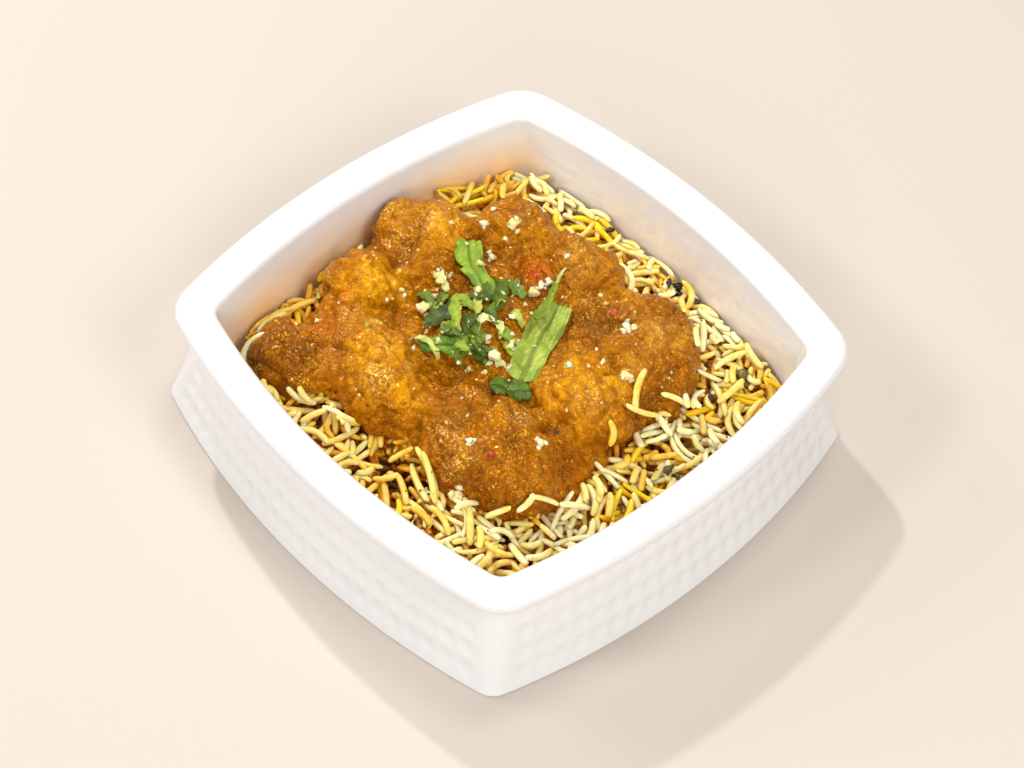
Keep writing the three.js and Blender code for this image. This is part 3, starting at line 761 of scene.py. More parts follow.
def rice_height(x, y):
    waves = 1.3 * np.sin(x / 16 + 0.8) * np.cos(y / 18 - 0.4)
    return RICE_LEVEL + waves + (y - x) / 110 - spots(x, y, HOLLOWS)


def clearance(x, y, height):
    """Distance to the nearest inner wall of a place in the dish, at a height; all in mm."""
    bow = OPENING_OUTLINE[0]
    shift = bow - inner_half(height)
    away = [np.hypot(x + shift, y), np.hypot(x - shift, y), np.hypot(x, y + shift), np.hypot(x, y - shift)]
    return bow - np.max(away, axis=0)


def neighbours(raster):
    """The raster moved by one cell to each of four sides."""
    return [np.roll(raster, step, side) for side in (0, 1) for step in (1, -1)]


def shrink(mask, steps):
    for _ in range(steps):
        mask = np.logical_and.reduce([mask, *neighbours(mask)])
    return mask


def blur(values, steps):
    for _ in range(steps):
        values = sum(neighbours(values), values) / 5
    return values


goal = rice_height(field_x, field_y)
covered = curry_top > goal + 0.5
near_curry = blur(covered.astype(float), 90)
open_rice = ~shrink(covered, 9) & (clearance(field_x, field_y, 18) > 0.8)
print("open rice:", round(open_rice.sum() * CELL**2 / 100), "square centimetres")

# %% [markdown]
# Only the top few layers can be seen, so they lie on a solid core of rice, which fills the dish from the
# floor and runs under the heap. It is a flat grid bowed like the walls, given its relief and drawn down.
# It shows only deep between the grains. A noise runs its colour from brown to pale, and in the listed
# hollows it turns nearly black as painted shade.

# %% Core
CORE_CELLS = 120
CORE_DEPTH = 2.6
CORE_HALF = 65.2
CORE_DRAUGHT = 0.93
# Colours of the core; the dark end is painted shade for the hollows.
CORE_TONE_AND_SHADE = [
    (0.1, (0.10, 0.03, 0.006)), (0.32, (0.42, 0.19, 0.03)), (0.42, (0.72, 0.45, 0.12)),
    (0.55, (0.90, 0.70, 0.30)),
]


def core_height(x, y):
    wide = noise.noise(Vector((x / 9, y / 9, 3))) * 1.7
    fine = noise.noise(Vector((x / 2.2, y / 2.2, 9))) * 0.8
    return rice_height(x, y) - CORE_DEPTH + (wide + fine)


def new_vertices(result):
    """The vertices that an extrusion made."""
    return [item for item in result["geom"] if isinstance(item, bmesh.types.BMVert)]


core_bm = bmesh.new()
bmesh.ops.create_grid(core_bm, x_segments=CORE_CELLS, y_segments=CORE_CELLS, size=1)
core_bow = 64.8**2 / 2 / OPENING_OUTLINE[0]
for vertex in core_bm.verts:
    u, v = vertex.co.x, vertex.co.y
    x, y = u * (CORE_HALF - core_bow * v * v), v * (CORE_HALF - core_bow * u * u)
    vertex.co = Vector((x, y, core_height(x, y))) * MM
for vertex in new_vertices(bmesh.ops.extrude_face_region(core_bm, geom=core_bm.faces[:])):
    x, y = vertex.co.x * CORE_DRAUGHT, vertex.co.y * CORE_DRAUGHT
    vertex.co = Vector((x, y, (FLOOR_HEIGHT + 0.3) * MM))
bmesh.ops.recalc_face_normals(core_bm, faces=core_bm.faces)

core_chain = NodeChain("rice_depths")
# Painted shade: the core darkens in the listed hollows.
core_shade = core_chain.maths("SUBTRACT", core_chain.noise(0.5, detail=3), core_chain.attribute("hollow"))
core_chain.give("Base Color", core_chain.ramp(core_shade, CORE_TONE_AND_SHADE))
core_chain.set(Roughness=0.6)
rice_core = finish_piece("rice_core", core_bm, core_chain.material)
core_points = vertex_array(rice_core.data) / MM
core_hollows = spots(core_points[:, 0], core_points[:, 1], HOLLOWS)
give_attribute(rice_core.data, "hollow", 0.13 * core_hollows)
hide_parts("rice")
lay(rice_core)

# %% [markdown]
# One grain is a small round solid drawn out to a spindle with blunt ends. Its length runs from -1 to 1
# and its width is 1, and each copy is bent along its own curve. Copies are joined as arrays, which is
# quick, and each copy writes one number, its tint, on its vertices.

# %% Small shapes to copy
def as_template(bm):
    """Corners and faces of a small closed shape."""
    bmesh.ops.recalc_face_normals(bm, faces=bm.faces)
    bm.verts.index_update()
    corners = np.array([tuple(vertex.co) for vertex in bm.verts])
    faces = [[vertex.index for vertex in face.verts] for face in bm.faces]
    bm.free()
    return corners, faces


def joined_mesh(name, faces, copies, tints):
    """One mesh from many sets of corners, in mm, that all have the same faces."""
    count = len(copies[0])
    starts = range(0, len(copies) * count, count)
    every_face = [[start + corner for corner in face] for start in starts for face in faces]
    mesh = bpy.data.meshes.new(name)
    mesh.from_pydata(np.concatenate(copies) * MM, [], every_face)
    give_attribute(mesh, "tint", np.repeat(tints, count))
    mesh.update()
    return mesh


def grain_template():
    bm = bmesh.new()
    bmesh.ops.create_uvsphere(bm, u_segments=6, v_segments=9, radius=1)
    bmesh.ops.transform(bm, matrix=Matrix.Rotation(math.pi / 2, 4, "Y"), verts=bm.verts)
    for vertex in bm.verts:
        ring = math.asin(max(-1, min(1, vertex.co.x))) / (math.pi / 2)
        place = 1 - (1 - abs(ring)) ** 1.8
        body = (1 - 0.14 * place**2) * math.sqrt(1 - place**12)
        width = math.hypot(vertex.co.y, vertex.co.z)
        vertex.co.x = math.copysign(place, ring)
        if width > 1e-6:
            vertex.co.y *= body / width
            vertex.co.z *= body / width
    return as_template(bm)


grain_corners, grain_faces = grain_template()
print("a grain has", len(grain_faces), "faces")

# %% [markdown]
# A grain bends sideways along its plan curve, slopes with the stick it follows and sags a little between
# its two supports. It is pressed into the pile by most of its own radius, because cooked rice is soft. If
# its middle line would have to lie higher than a limit, the place is left to other grains.

# %% Laying one grain on the pile
STEEPEST = 0.75
MOST_SAG = 1.1
PRESS = 0.75
FLATNESS = 0.88


def plan_curve(x, y, turn, half, bend, t):
    """The curve of a grain seen from above, t running from -1 to 1."""
    side = bend * (t * t - 0.4)
    cosine, sine = math.cos(turn), math.sin(turn)
    return x + half * t * cosine - side * sine, y + half * t * sine + side * cosine


def cells(x, y):
    return np.rint((y + REACH) / CELL).astype(int), np.rint((x + REACH) / CELL).astype(int)


def needed_heights(pile, x, y, turn, radius):
    """How high the grain's middle line has to be at each place to clear the pile."""
    needed = np.zeros(len(x))
    for across in (-0.7, 0.0, 0.7):
        rows, columns = cells(x - across * radius * math.sin(turn), y + across * radius * math.cos(turn))
        needed = np.maximum(needed, pile[rows, columns] + radius * math.sqrt(1 - across**2) - PRESS)
    return needed


def resting_heights(needed, t, half):
    """A stick on one support on each side of its middle: its height there, its slope and its sag."""
    middle = len(t) // 2
    left_t, right_t = t[: middle + 1, None], t[None, middle:]
    left, right = needed[: middle + 1, None], needed[None, middle:]
    span = np.where(right_t - left_t == 0, 1, right_t - left_t)
    lines = np.where(right_t - left_t == 0, left, (left * right_t - right * left_t) / span)
    i, j = np.unravel_index(np.argmax(lines), lines.shape)
    slope = np.clip((right[0, j] - left[i, 0]) / span[i, j], -STEEPEST * half, STEEPEST * half)
    height = np.max(needed - slope * t)
    spare = (height + slope * t - needed)[t != 0] / t[t != 0] ** 2
    return height, slope, min(MOST_SAG, max(0.0, spare.min()))


def lay_grain(pile, x, y, turn, half, bend, radius, limit, lean=0.0):
    """Rests a grain on the pile, tilted by lean, and raises the pile. None if it would stand too high."""
    t = np.linspace(-1, 1, 9)
    px, py = plan_curve(x, y, turn, half, bend, t)
    if clearance(px, py, 17).min() < radius * 0.9:
        return None
    needed = needed_heights(pile, px, py, turn, radius * FLATNESS)
    height, slope, sag = resting_heights(needed, t, half)
    if lean:
        slope = np.clip(slope + lean * half, -STEEPEST * half, STEEPEST * half)
        height, sag = np.max(needed - slope * t), 0.0
    if height > limit:
        return None
    return place_grain(pile, x, y, turn, half, bend, radius, height, slope, sag)


def place_grain(pile, x, y, turn, half, bend, radius, height, slope, sag):
    """Corners of a grain whose middle line is known. The pile rises to it."""
    t = np.linspace(-1, 1, int(half * 5))
    px, py = plan_curve(x, y, turn, half, bend, t)
    for across in (-0.8, -0.4, 0.0, 0.4, 0.8):
        rows, columns = cells(px - across * radius * math.sin(turn), py + across * radius * math.cos(turn))
        top = height + slope * t - sag * t * t + radius * 0.85 * math.sqrt(1 - across**2)
        np.maximum.at(pile, (rows, columns), top)
    t = grain_corners[:, 0]
    cx, cy = plan_curve(x, y, turn, half, bend, t)
    tilt = turn + 2 * bend * t / half
    side = grain_corners[:, 1] * radius
    up = height + slope * t - sag * t * t + grain_corners[:, 2] * radius * FLATNESS
    return np.column_stack((cx - side * np.sin(tilt), cy + side * np.cos(tilt), up))


print("a grain leans by", STEEPEST, "at most")

# %% [markdown]
# The tint of a grain says how much gravy or saffron it took up; the bed's tint also holds painted shade.
# Grains near the heap and in the back corner are stained, and saffron sits in a few bright clusters. A
# bed of grains is pushed into each other first, since it only shows through gaps; its tint is darker, more
# so in the hollows, as painted shade. Those on top rest on one another, and nearly half lie along the one
# before. They are dropped until the pile is up to its goal, and stay out of the deepest hollows, so that
# real gaps are left to look into.

# %% Drop the grains
STAINED = (
    (-58, 44, 18, 0.30), (-60, -36, 16, 0.3), (6, -52, 10, 0.25), (46, -46, 12, 0.28),
    (-52, -48, 10, 0.2), (-46, 52, 8, 0.1), (24, -48, 8, 0.12), (-14, -53, 8, 0.15), (56, 8, 14, 0.12),
    (58, -10, 9, 0.1),
)
PALE = (
    (47, 26, 8, 0.6), (-44, 57, 9, 0.5), (26, 59, 9, 0.4), (40, -50, 12, 0.2), (52, -26, 9, 0.4),
    (56, 26, 8, 0.3), (54, 7, 9, 0.2), (58, -7, 8, 0.2),
)
SAFFRON = (
    (-61.5, 30, 4, 0.9), (-62.5, -22, 5, 0.9), (13, -58, 4, 0.6), (-18.5, -46, 4, 0.6),
    (45.5, 2.5, 4.5, 0.6), (54, 46.5, 5, 0.7), (-31.5, 51, 4, 0.8), (59, -11.5, 4.5, 0.7),
    (-22, 58, 4, 0.5), (50, 30, 4, 0.4), (32.5, 63, 4, 0.5), (-54.5, -40.5, 3, 0.3), (-20, 48, 4, 0.7),
    (56.5, 4.5, 5, 0.5), (62.5, 17, 4, 0.4), (-58, 36, 8, 0.35),
)
BED_GRAINS = 1150
BED_DEPTH = 2.0
BED_SPREAD = 0.7
GRAINS = 2000
MOST_TRIES = 26000
GAP_DEPTH = 2.6
PIT_DEPTH = 5.2

dice = np.random.default_rng(5)
pile = np.where(open_rice, np.array([[core_height(x, y) for x in axis] for y in axis]), 0.0)
pile = np.where(shrink(covered, 9), goal - 1.0, pile)
kinds = {"plain": ([], []), "saffron": ([], [])}


def at_cell(values, x, y):
    return values[cells(np.array([x]), np.array([y]))][0]


def grain_size():
    half = dice.uniform(4.2, 7.4) if dice.random() < 0.8 else dice.uniform(1.8, 4.2)
    return dice.uniform(0, 2 * math.pi), half, dice.normal(0, 1.6), dice.uniform(0.82, 1.12)


def keep_grain(shape, x, y, darker, whiter):
    """Stores a grain with its tint, as plain or saffron rice."""
    kind = "saffron" if dice.random() < spots(x, y, SAFFRON) else "plain"
    # Real gravy stain, plus painted shade for deep grains through darker.
    stain_and_shade = darker + spots(x, y, STAINED) - spots(x, y, PALE) + 0.4 * at_cell(near_curry, x, y) ** 1.5
    stain_and_shade += dice.beta(1.2, 3.4) * 0.7 - whiter * dice.random()
    kinds[kind][0].append(shape)
    kinds[kind][1].append(dice.random() if kind == "saffron" else min(1.0, max(0.0, stain_and_shade)))


def drop_grains(count, most_tries, wanted, room_above, whiter):
    """Drops grains where wanted(pile) marks the raster, up to a count or a number of tries."""
    dropped = 0
    shape = None
    for attempt in range(most_tries):
        if attempt % 80 == 0:
            places = np.argwhere(wanted(pile))
        if dropped == count or len(places) < 300:
            break
        if shape is not None and dice.random() < 0.45:
            aside, ahead = dice.choice((-2.1, 2.1)), dice.uniform(-3, 3)
            x += ahead * math.cos(turn) - aside * math.sin(turn)
            y += ahead * math.sin(turn) + aside * math.cos(turn)
            turn += dice.normal(0, 0.15)
            if max(abs(x), abs(y)) > 62:
                continue
        else:
            row, column = places[dice.integers(len(places))]
            x, y = axis[column] + dice.uniform(-2, 2), axis[row] + dice.uniform(-2, 2)
            turn, half, bend, radius = grain_size()
        limit = rice_height(x, y) + room_above()
        lean = dice.normal(0, 0.3) if dice.random() < 0.5 else 0.0
        shape = lay_grain(pile, x, y, turn, half, bend, radius, limit, lean)
        if shape is None:
            continue
        dropped += 1
        keep_grain(shape, x, y, 0.06, whiter)
    print(dropped, "grains dropped in", attempt, "tries")


places = np.argwhere(open_rice & (clearance(field_x, field_y, 17) > 3))
for row, column in dice.choice(places, BED_GRAINS):
    x, y = axis[column], axis[row]
    if spots(x, y, HOLLOWS) > PIT_DEPTH:
        continue
    turn, half, bend, radius = grain_size()
    if clearance(*plan_curve(x, y, turn, half, bend, np.linspace(-1, 1, 5)), 17).min() > 1:
        height = rice_height(x, y) - BED_DEPTH + dice.uniform(-BED_SPREAD, BED_SPREAD)
        shape = place_grain(pile, x, y, turn, half, bend, radius, height, dice.normal(0, 0.1) * half, 0.0)
        # The bed's darker tint, more so in the hollows, is painted shade.
        keep_grain(shape, x, y, 0.16 + 0.12 * spots(x, y, HOLLOWS), 0)
print(len(kinds["plain"][0]) + len(kinds["saffron"][0]), "grains in the bed")
may_fill = open_rice & (spots(field_x, field_y, HOLLOWS) < GAP_DEPTH)
drop_grains(
    GRAINS, MOST_TRIES, lambda pile: may_fill & (pile < goal), lambda: 0.9 + 1.8 * dice.random() ** 2, 0
)

# %% [markdown]
# A few grains lie half on the heap. They are dropped last, on the pile with the gravy's surface added to
# it, in a band along the gravy's edge.

# %% Grains along the edge of the gravy
EDGE_GRAINS = 40
EDGE_TRIES = 3000
EDGE_RISE = 4.5

pile = np.maximum(pile, curry_top)
edge_band = (near_curry > 0.2) & (near_curry < 0.62) & (clearance(field_x, field_y, 20) > 3)
drop_grains(EDGE_GRAINS, EDGE_TRIES, lambda pile: edge_band, lambda: EDGE_RISE, 0.5)

# %% [markdown]
# Last come the grains that catch the eye: white clumps, crossed pairs, long strands leaning on the heap.
# Each is listed as x, y, turn in degrees, half length and tint in hundredths.

# %% Listed grains
LISTED = (
    (-63.3, 41.4, -42, 8.0, 45), (-61.4, 23.1, -55, 8.0, 50), (-61.6, 44.4, -28, 5.6, 40),
    (-49.1, 42.4, -47, 8.0, 50), (-54.9, 43.1, -53, 3.4, 55), (-61.4, 35.7, -36, 2.2, 15),
    (-47.3, 54.6, -11, 3.4, 0), (-44.5, 55.3, -6, 2.6, 5), (-37.2, 56.0, -41, 4.0, 20),
    (-36.0, 61.0, -17, 3.6, 5), (-28.6, 59.2, 6, 3.1, 20), (-2.3, 61.6, -64, 2.9, 5),
    (6.4, 59.5, -56, 2.2, 0), (16.9, 47.1, 22, 2.4, 10), (19.2, 52.6, -46, 8.0, 30),
    (13.9, 61.7, -36, 4.3, 35), (15.7, 61.5, -39, 6.2, 15), (28.6, 52.9, -45, 5.5, 15),
    (32.8, 44.2, -41, 4.3, 30), (24.0, 61.5, 72, 3.3, 0), (29.5, 60.5, 13, 2.6, 0),
    (31.9, 54.2, -37, 3.0, 20), (35.3, 59.9, -20, 2.2, 0), (37.7, 57.0, 34, 3.7, 20),
    (44.6, 57.8, -14, 5.0, 15), (40.6, 51.7, 74, 5.6, 15), (47.7, 46.2, 40, 3.3, 20),
    (49.6, 43.0, 86, 5.0, 20), (56.1, 39.7, -39, 4.5, 15), (43.2, 25.3, 37, 4.3, 15),
    (46.5, 28.6, -31, 3.3, 0), (48.7, 28.4, -38, 3.5, 0), (45.7, 27.6, -39, 3.2, 5),
    (43.2, 20.5, 79, 2.2, 20), (36.7, 16.0, -55, 8.0, 35), (44.3, 47.1, -50, 3.1, 25),
    (45.3, 48.5, -48, 3.7, 30), (50.5, 51.9, 13, 2.2, 0), (22.7, -54.3, 0, 4.1, 45),
    (27.5, -51.4, -11, 5.1, 35), (29.3, -43.5, -31, 3.0, 20), (35.0, -47.6, -39, 4.9, 30),
    (30.2, -44.8, -88, 4.7, 3), (39.1, -47.4, -40, 3.9, 30), (38.2, -40.0, 44, 3.6, 20),
    (41.9, -41.4, 48, 3.4, 12), (49.8, -42.6, -14, 4.9, 12), (43.1, -34.1, 80, 2.8, 8),
    (45.8, -29.7, 64, 4.6, 15), (50.1, -21.7, 70, 4.8, 5), (48.0, -15.4, -35, 3.5, 15),
    (49.7, -11.5, -36, 4.1, 25), (50.3, -31.7, 16, 2.8, 15), (49.4, -37.2, 47, 2.8, 30),
    (54.3, -38.5, 79, 4.5, 20), (55.1, -12.2, -48, 3.7, 40), (46.0, -48.2, -4, 4.4, 45),
    (42.8, 11.7, 63, 5.3, 25), (46.6, 18.7, 6, 2.7, 0), (50.8, 23.0, 51, 2.7, 5),
    (49.5, 10.1, 79, 2.4, 40), (52.5, 12.3, 60, 4.1, 40), (47.0, 1.1, -79, 3.4, 35),
    (42.2, 0.1, -40, 2.9, 55), (55.0, 7.8, -71, 3.5, 10), (56.7, 9.9, -44, 3.4, 10),
    (51.8, 1.3, -61, 2.9, 25), (54.3, 2.1, -52, 3.4, 50), (49.4, -11.3, -25, 3.4, 20),
    (56.9, 28.3, -27, 3.6, 8), (51.6, 29.5, -40, 3.4, 30), (52.4, 32.8, 49, 2.2, 45),
    (47.3, 36.4, -29, 2.2, 20), (56.0, 23.0, 4, 2.2, 15), (-29.0, -54.1, 10, 2.6, 30),
    (-23.2, -56.0, 71, 4.0, 30), (-15.9, -51.6, -20, 2.6, 20), (-14.3, -50.3, 49, 2.2, 15),
    (2.3, -44.6, 56, 3.6, 40), (-0.1, -56.0, 64, 2.4, 25), (4.6, -50.6, -35, 2.9, 30),
    (6.2, -54.1, 27, 3.9, 35), (11.5, -51.9, -28, 5.7, 35), (12.7, -46.9, -23, 7.7, 25),
    (13.7, -44.3, -19, 8.0, 30), (15.7, -45.4, -28, 7.9, 35), (-38.5, -60.6, -1, 2.3, 40),
)

laid = 0
for x, y, turn, half, tint in LISTED:
    bend, radius = dice.normal(0, 0.8), dice.uniform(0.95, 1.15)
    shape = lay_grain(pile, x, y, math.radians(turn), half, bend, radius, 36)
    if shape is not None:
        laid += 1
        kinds["plain"][0].append(shape)
        kinds["plain"][1].append(tint / 100)
print(laid, "of", len(LISTED), "listed grains laid")

# %% [markdown]
# Cooked rice lets light in, so the grains have a warm subsurface. Two noises shift each grain's tint
# along its length, from white over yellow to brown. Grains deep in the pile get painted shade: how far
# each vertex lies under the pile's blurred top is kept as an attribute, which darkens them and turns them
# orange-brown as painted warm shade. That gives the gaps their depth.

# %% Rice materials
# Painted warm shade and painted deep shade for grains deep in the pile.
WARM_SHADE = (0.80, 0.48, 0.20)
DEEP_SHADE = (0.20, 0.075, 0.02)
PLAIN_STOPS = [
    (0.02, (0.98, 0.83, 0.47)), (0.2, (0.97, 0.72, 0.25)), (0.45, (0.94, 0.56, 0.085)),
    (0.72, (0.82, 0.41, 0.035)), (0.98, (0.50, 0.20, 0.01)),
]
SAFFRON_STOPS = [(0.1, (0.92, 0.66, 0.03)), (0.9, (0.86, 0.50, 0.01))]


def rice_material(name, stops):
    chain = NodeChain(name)
    tint = chain.attribute("tint")
    for per_mm, reach in ((0.07, 0.7), (0.35, 0.6)):
        change = chain.maths("MULTIPLY", chain.maths("SUBTRACT", chain.noise(per_mm, detail=2), 0.5), reach)
        tint = chain.maths("ADD", tint, change)
    # Painted shade: the deeper a grain lies, the browner and darker it gets.
    buried = chain.attribute("buried")
    tint = chain.maths("ADD", tint, chain.maths("MULTIPLY", buried, 0.10))
    depth = chain.maths("MULTIPLY", buried, 0.2)
    warm_shade_mask = chain.ramp(depth, [(0.06, 0.0), (0.5, 0.9)])
    base = chain.mix(warm_shade_mask, chain.ramp(tint, stops), WARM_SHADE, "MULTIPLY")
    shaded = chain.ramp(depth, [(0.5, 0.0), (0.8, 0.85)])
    chain.give("Base Color", chain.mix(shaded, base, DEEP_SHADE))
    chain.set(Roughness=0.34, IOR=1.4, Specular_IOR_Level=0.25)
    chain.set(Subsurface_Weight=0.85, Subsurface_Scale=0.0024, Subsurface_Radius=(1.0, 0.7, 0.35))
    chain.give("Normal", chain.bump(chain.noise(1.4, detail=2), depth_mm=0.07))
    return chain.material


# The pile's blurred top, from which the painted shade of deep grains is measured.
unbroken = goal + np.maximum(0, spots(field_x, field_y, HOLLOWS))
level = np.maximum(blur(np.minimum(pile, goal + 2.5), 40), unbroken - 0.6)
for kind, stops in (("plain", PLAIN_STOPS), ("saffron", SAFFRON_STOPS)):
    grain_mesh = joined_mesh("rice_" + kind, grain_faces, *kinds[kind])
    corners = vertex_array(grain_mesh) / MM
    buried = level[cells(corners[:, 0], corners[:, 1])] - corners[:, 2]
    give_attribute(grain_mesh, "buried", np.clip(buried, 0, 5))
    grain_piece = mesh_piece("rice_" + kind, grain_mesh, rice_material(kind + "_grain", stops))
    lay(grain_piece)
    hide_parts("rice")

# %% [markdown]
# ## Coriander
#
# A leaf is a thin sheet with a thickness, so each starts as a flat grid. The grid's length follows a
# curve over the heap, its sides are cut into teeth, and its height is that of the frame's leaf or of the
# gravy, whichever is higher, so that it lies on the food. Veins are grooves in the mesh. Solidify can
# throw spikes where a tip is thin, so the thickness comes from extruding the whole sheet and moving the
# copy down.

# %% Making a leaf
LEAF_ROWS = 70
LEAF_COLUMNS = 34
LEAF_THICK = 0.35
TEETH = 6.3


def along_curve(points, share):
    """Place and turn at a share of a smooth curve through the points."""
    points = np.array(points, dtype=float)
    lengths = np.concatenate(([0], np.cumsum(np.hypot(*np.diff(points, axis=0).T))))
    where = share * lengths[-1]
    spread = lengths[-1] * 0.09
    nearby = where + np.array([-spread, 0, spread])
    x, y = (np.interp(nearby, lengths, points[:, k]) for k in (0, 1))
    return x.mean(), y.mean(), math.atan2(y[2] - y[0], x[2] - x[0])


def leaf_mesh(name, node, spine, widths, teeth, tip, cut, veins, lift):
    """A leaf over the frame's leaf node. Teeth have a depth on the left and one on the right side."""
    frame_bm = bmesh.new()
    frame_bm.from_mesh(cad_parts[node].data)
    frame_tree = BVHTree.FromBMesh(frame_bm)
    bm = bmesh.new()
    bmesh.ops.create_grid(bm, x_segments=LEAF_ROWS, y_segments=LEAF_COLUMNS, size=1)
    relief = {}
    for vertex in bm.verts:
        u, v = (vertex.co.x + 1) / 2, vertex.co.y
        x, y, turn = along_curve(spine, u)
        half = np.interp(u, np.linspace(0, 1, len(widths)), widths) / 2
        depth = teeth[0] if v > 0 else teeth[1]
        tooth = (u * TEETH + (0.37 if v > 0 else 0)) % 1
        half *= 1 - depth * tooth**2 * (0.6 + 0.4 * math.sin(u * 23 + (2 if v > 0 else 0)))
        half *= max(0.08, math.sin(max(0.0, min(1.0, (1 - u) / tip)) * math.pi / 2) ** 0.7)
        notches = 0.6 * abs((v * 2.6 + 0.3) % 1 - 0.5) + 0.8 * abs((v * 5.3) % 1 - 0.5)
        fringe = cut * notches * max(0, 1 - u / 0.2)
        x += math.cos(turn) * fringe - math.sin(turn) * v * half
        y += math.sin(turn) * fringe + math.cos(turn) * v * half
        found = frame_tree.ray_cast(Vector((x, y, 60)) * MM, Vector((0, 0, -1)))[0]
        if found is None:
            found = frame_tree.find_nearest(Vector((x, y, 34)) * MM)[0]
        fold = math.exp(-((v * 7) ** 2)) + 0.55 * max(0, math.cos(v * 21 + u * 3)) ** 6
        relief[vertex.index] = -veins * fold + 0.5 * abs(v) ** 3 * math.sin(u * 11 + v)
        vertex.co = Vector((x, y, max(found.z / MM - LEAF_THICK, top_at(x, y) + lift))) * MM
    for _ in range(4):
        bmesh.ops.smooth_vert(bm, verts=bm.verts, factor=0.5, use_axis_z=True)
    for vertex in bm.verts:
        vertex.co.z += relief[vertex.index] * MM
    folds = [max(0.0, -relief[vertex.index]) / veins for vertex in bm.verts]
    lowered = new_vertices(bmesh.ops.extrude_face_region(bm, geom=bm.faces[:]))
    bmesh.ops.translate(bm, verts=lowered, vec=(0, 0, -LEAF_THICK * MM))
    bmesh.ops.recalc_face_normals(bm, faces=bm.faces)
    frame_bm.free()
    mesh = bpy.data.meshes.new(name)
    bm.to_mesh(mesh)
    bm.free()
    give_attribute(mesh, "fold", np.resize(np.clip(folds, 0, 1), len(mesh.vertices)))
    return mesh


def leaf_material(name, dark, light):
    chain = NodeChain(name)
    blotch = chain.noise(0.28, detail=3)
    fine = chain.noise(1.1, detail=2)
    base = chain.ramp(blotch, [(0.34, dark), (0.62, light)])
    bright = tuple(min(1, c * 1.6 + 0.03) for c in light)
    base = chain.mix(chain.ramp(fine, [(0.58, 0.0), (0.72, 0.5)]), base, bright)
    along_leaf = {"Vector": chain.place, "Rotation": (0, 0, 0.95), "Scale": (1, 0.12, 1)}
    streaks = chain.add("ShaderNodeMapping", along_leaf)
    lines = chain.noise(1.5, detail=2, place=streaks.outputs["Vector"])
    base = chain.mix(chain.ramp(lines, [(0.42, 0.55), (0.56, 0.0)]), base, dark)
    # Painted shade: the grooves of the veins and folds are darkened.
    veins = chain.ramp(chain.attribute("fold"), [(0.25, 0.0), (0.7, 0.7)])
    chain.give("Base Color", chain.mix(veins, base, tuple(c * 0.5 for c in dark)))
    chain.set(Roughness=0.42, Specular_IOR_Level=0.25)
    chain.give("Normal", chain.bump(chain.noise(0.9, detail=3), depth_mm=0.16))
    return chain.material


LEAVES = {
    "coriander_leaf_1": dict(
        spine=[(-5.0, 25.4), (0.2, 14.8), (5.0, 4.8), (10.8, -7)], widths=(8.4, 9.4, 9.9, 10, 9),
        teeth=(0.03, 0.10), tip=0.06, cut=3.4, veins=0.30, lift=0.8,
    ),
    "coriander_leaf_2": dict(
        spine=[(-37.5, 16.5), (-31, 11.5), (-25, 10.5), (-18.5, 7.0), (-13, 3.5)],
        widths=(8, 9, 5.5, 7.5, 7), teeth=(0.10, 0.42), tip=0.2, cut=1.4, veins=0.16, lift=0.4,
    ),
    "coriander_leaf_3": dict(
        spine=[(16.2, -6.6), (12.6, -11.4), (7.2, -16.0)], widths=(6, 9.5, 8.5, 5),
        teeth=(0.40, 0.25), tip=0.2, cut=0.8, veins=0.20, lift=0.3,
    ),
    "coriander_leaf_4": dict(
        spine=[(-4, -10.5), (-11, -15), (-18.5, -20.6)], widths=(4.5, 7, 6.5, 3.5),
        teeth=(0.15, 0.35), tip=0.2, cut=0.6, veins=0.20, lift=0.3,
    ),
}
LEAF_COLOURS = {
    "coriander_leaf_1": ((0.23, 0.33, 0.035), (0.42, 0.50, 0.08)),
    "coriander_leaf_2": ((0.16, 0.28, 0.015), (0.30, 0.42, 0.035)),
    "coriander_leaf_3": ((0.05, 0.10, 0.008), (0.14, 0.22, 0.018)),
    "coriander_leaf_4": ((0.09, 0.21, 0.012), (0.24, 0.38, 0.03)),
}
for node, shape in LEAVES.items():
    mesh = leaf_mesh(node.replace("coriander", "visible"), node, **shape)
    green = leaf_material(mesh.name, *LEAF_COLOURS[node])
    piece = mesh_piece(mesh.name, mesh, green, crisp=50)
    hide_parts(node)
    lay(piece)

# %% [markdown]
# The chopped leaf is a loose pile of strips, each a narrow grid that curls across its width and bends
# along its length. Strips are listed by their middle, length, width, turn, bend, curl and shade, from
# dark to pale. Dark ones come first, so that the pale ones lie on them. A pale stem, cut across, shows as
# a ring.

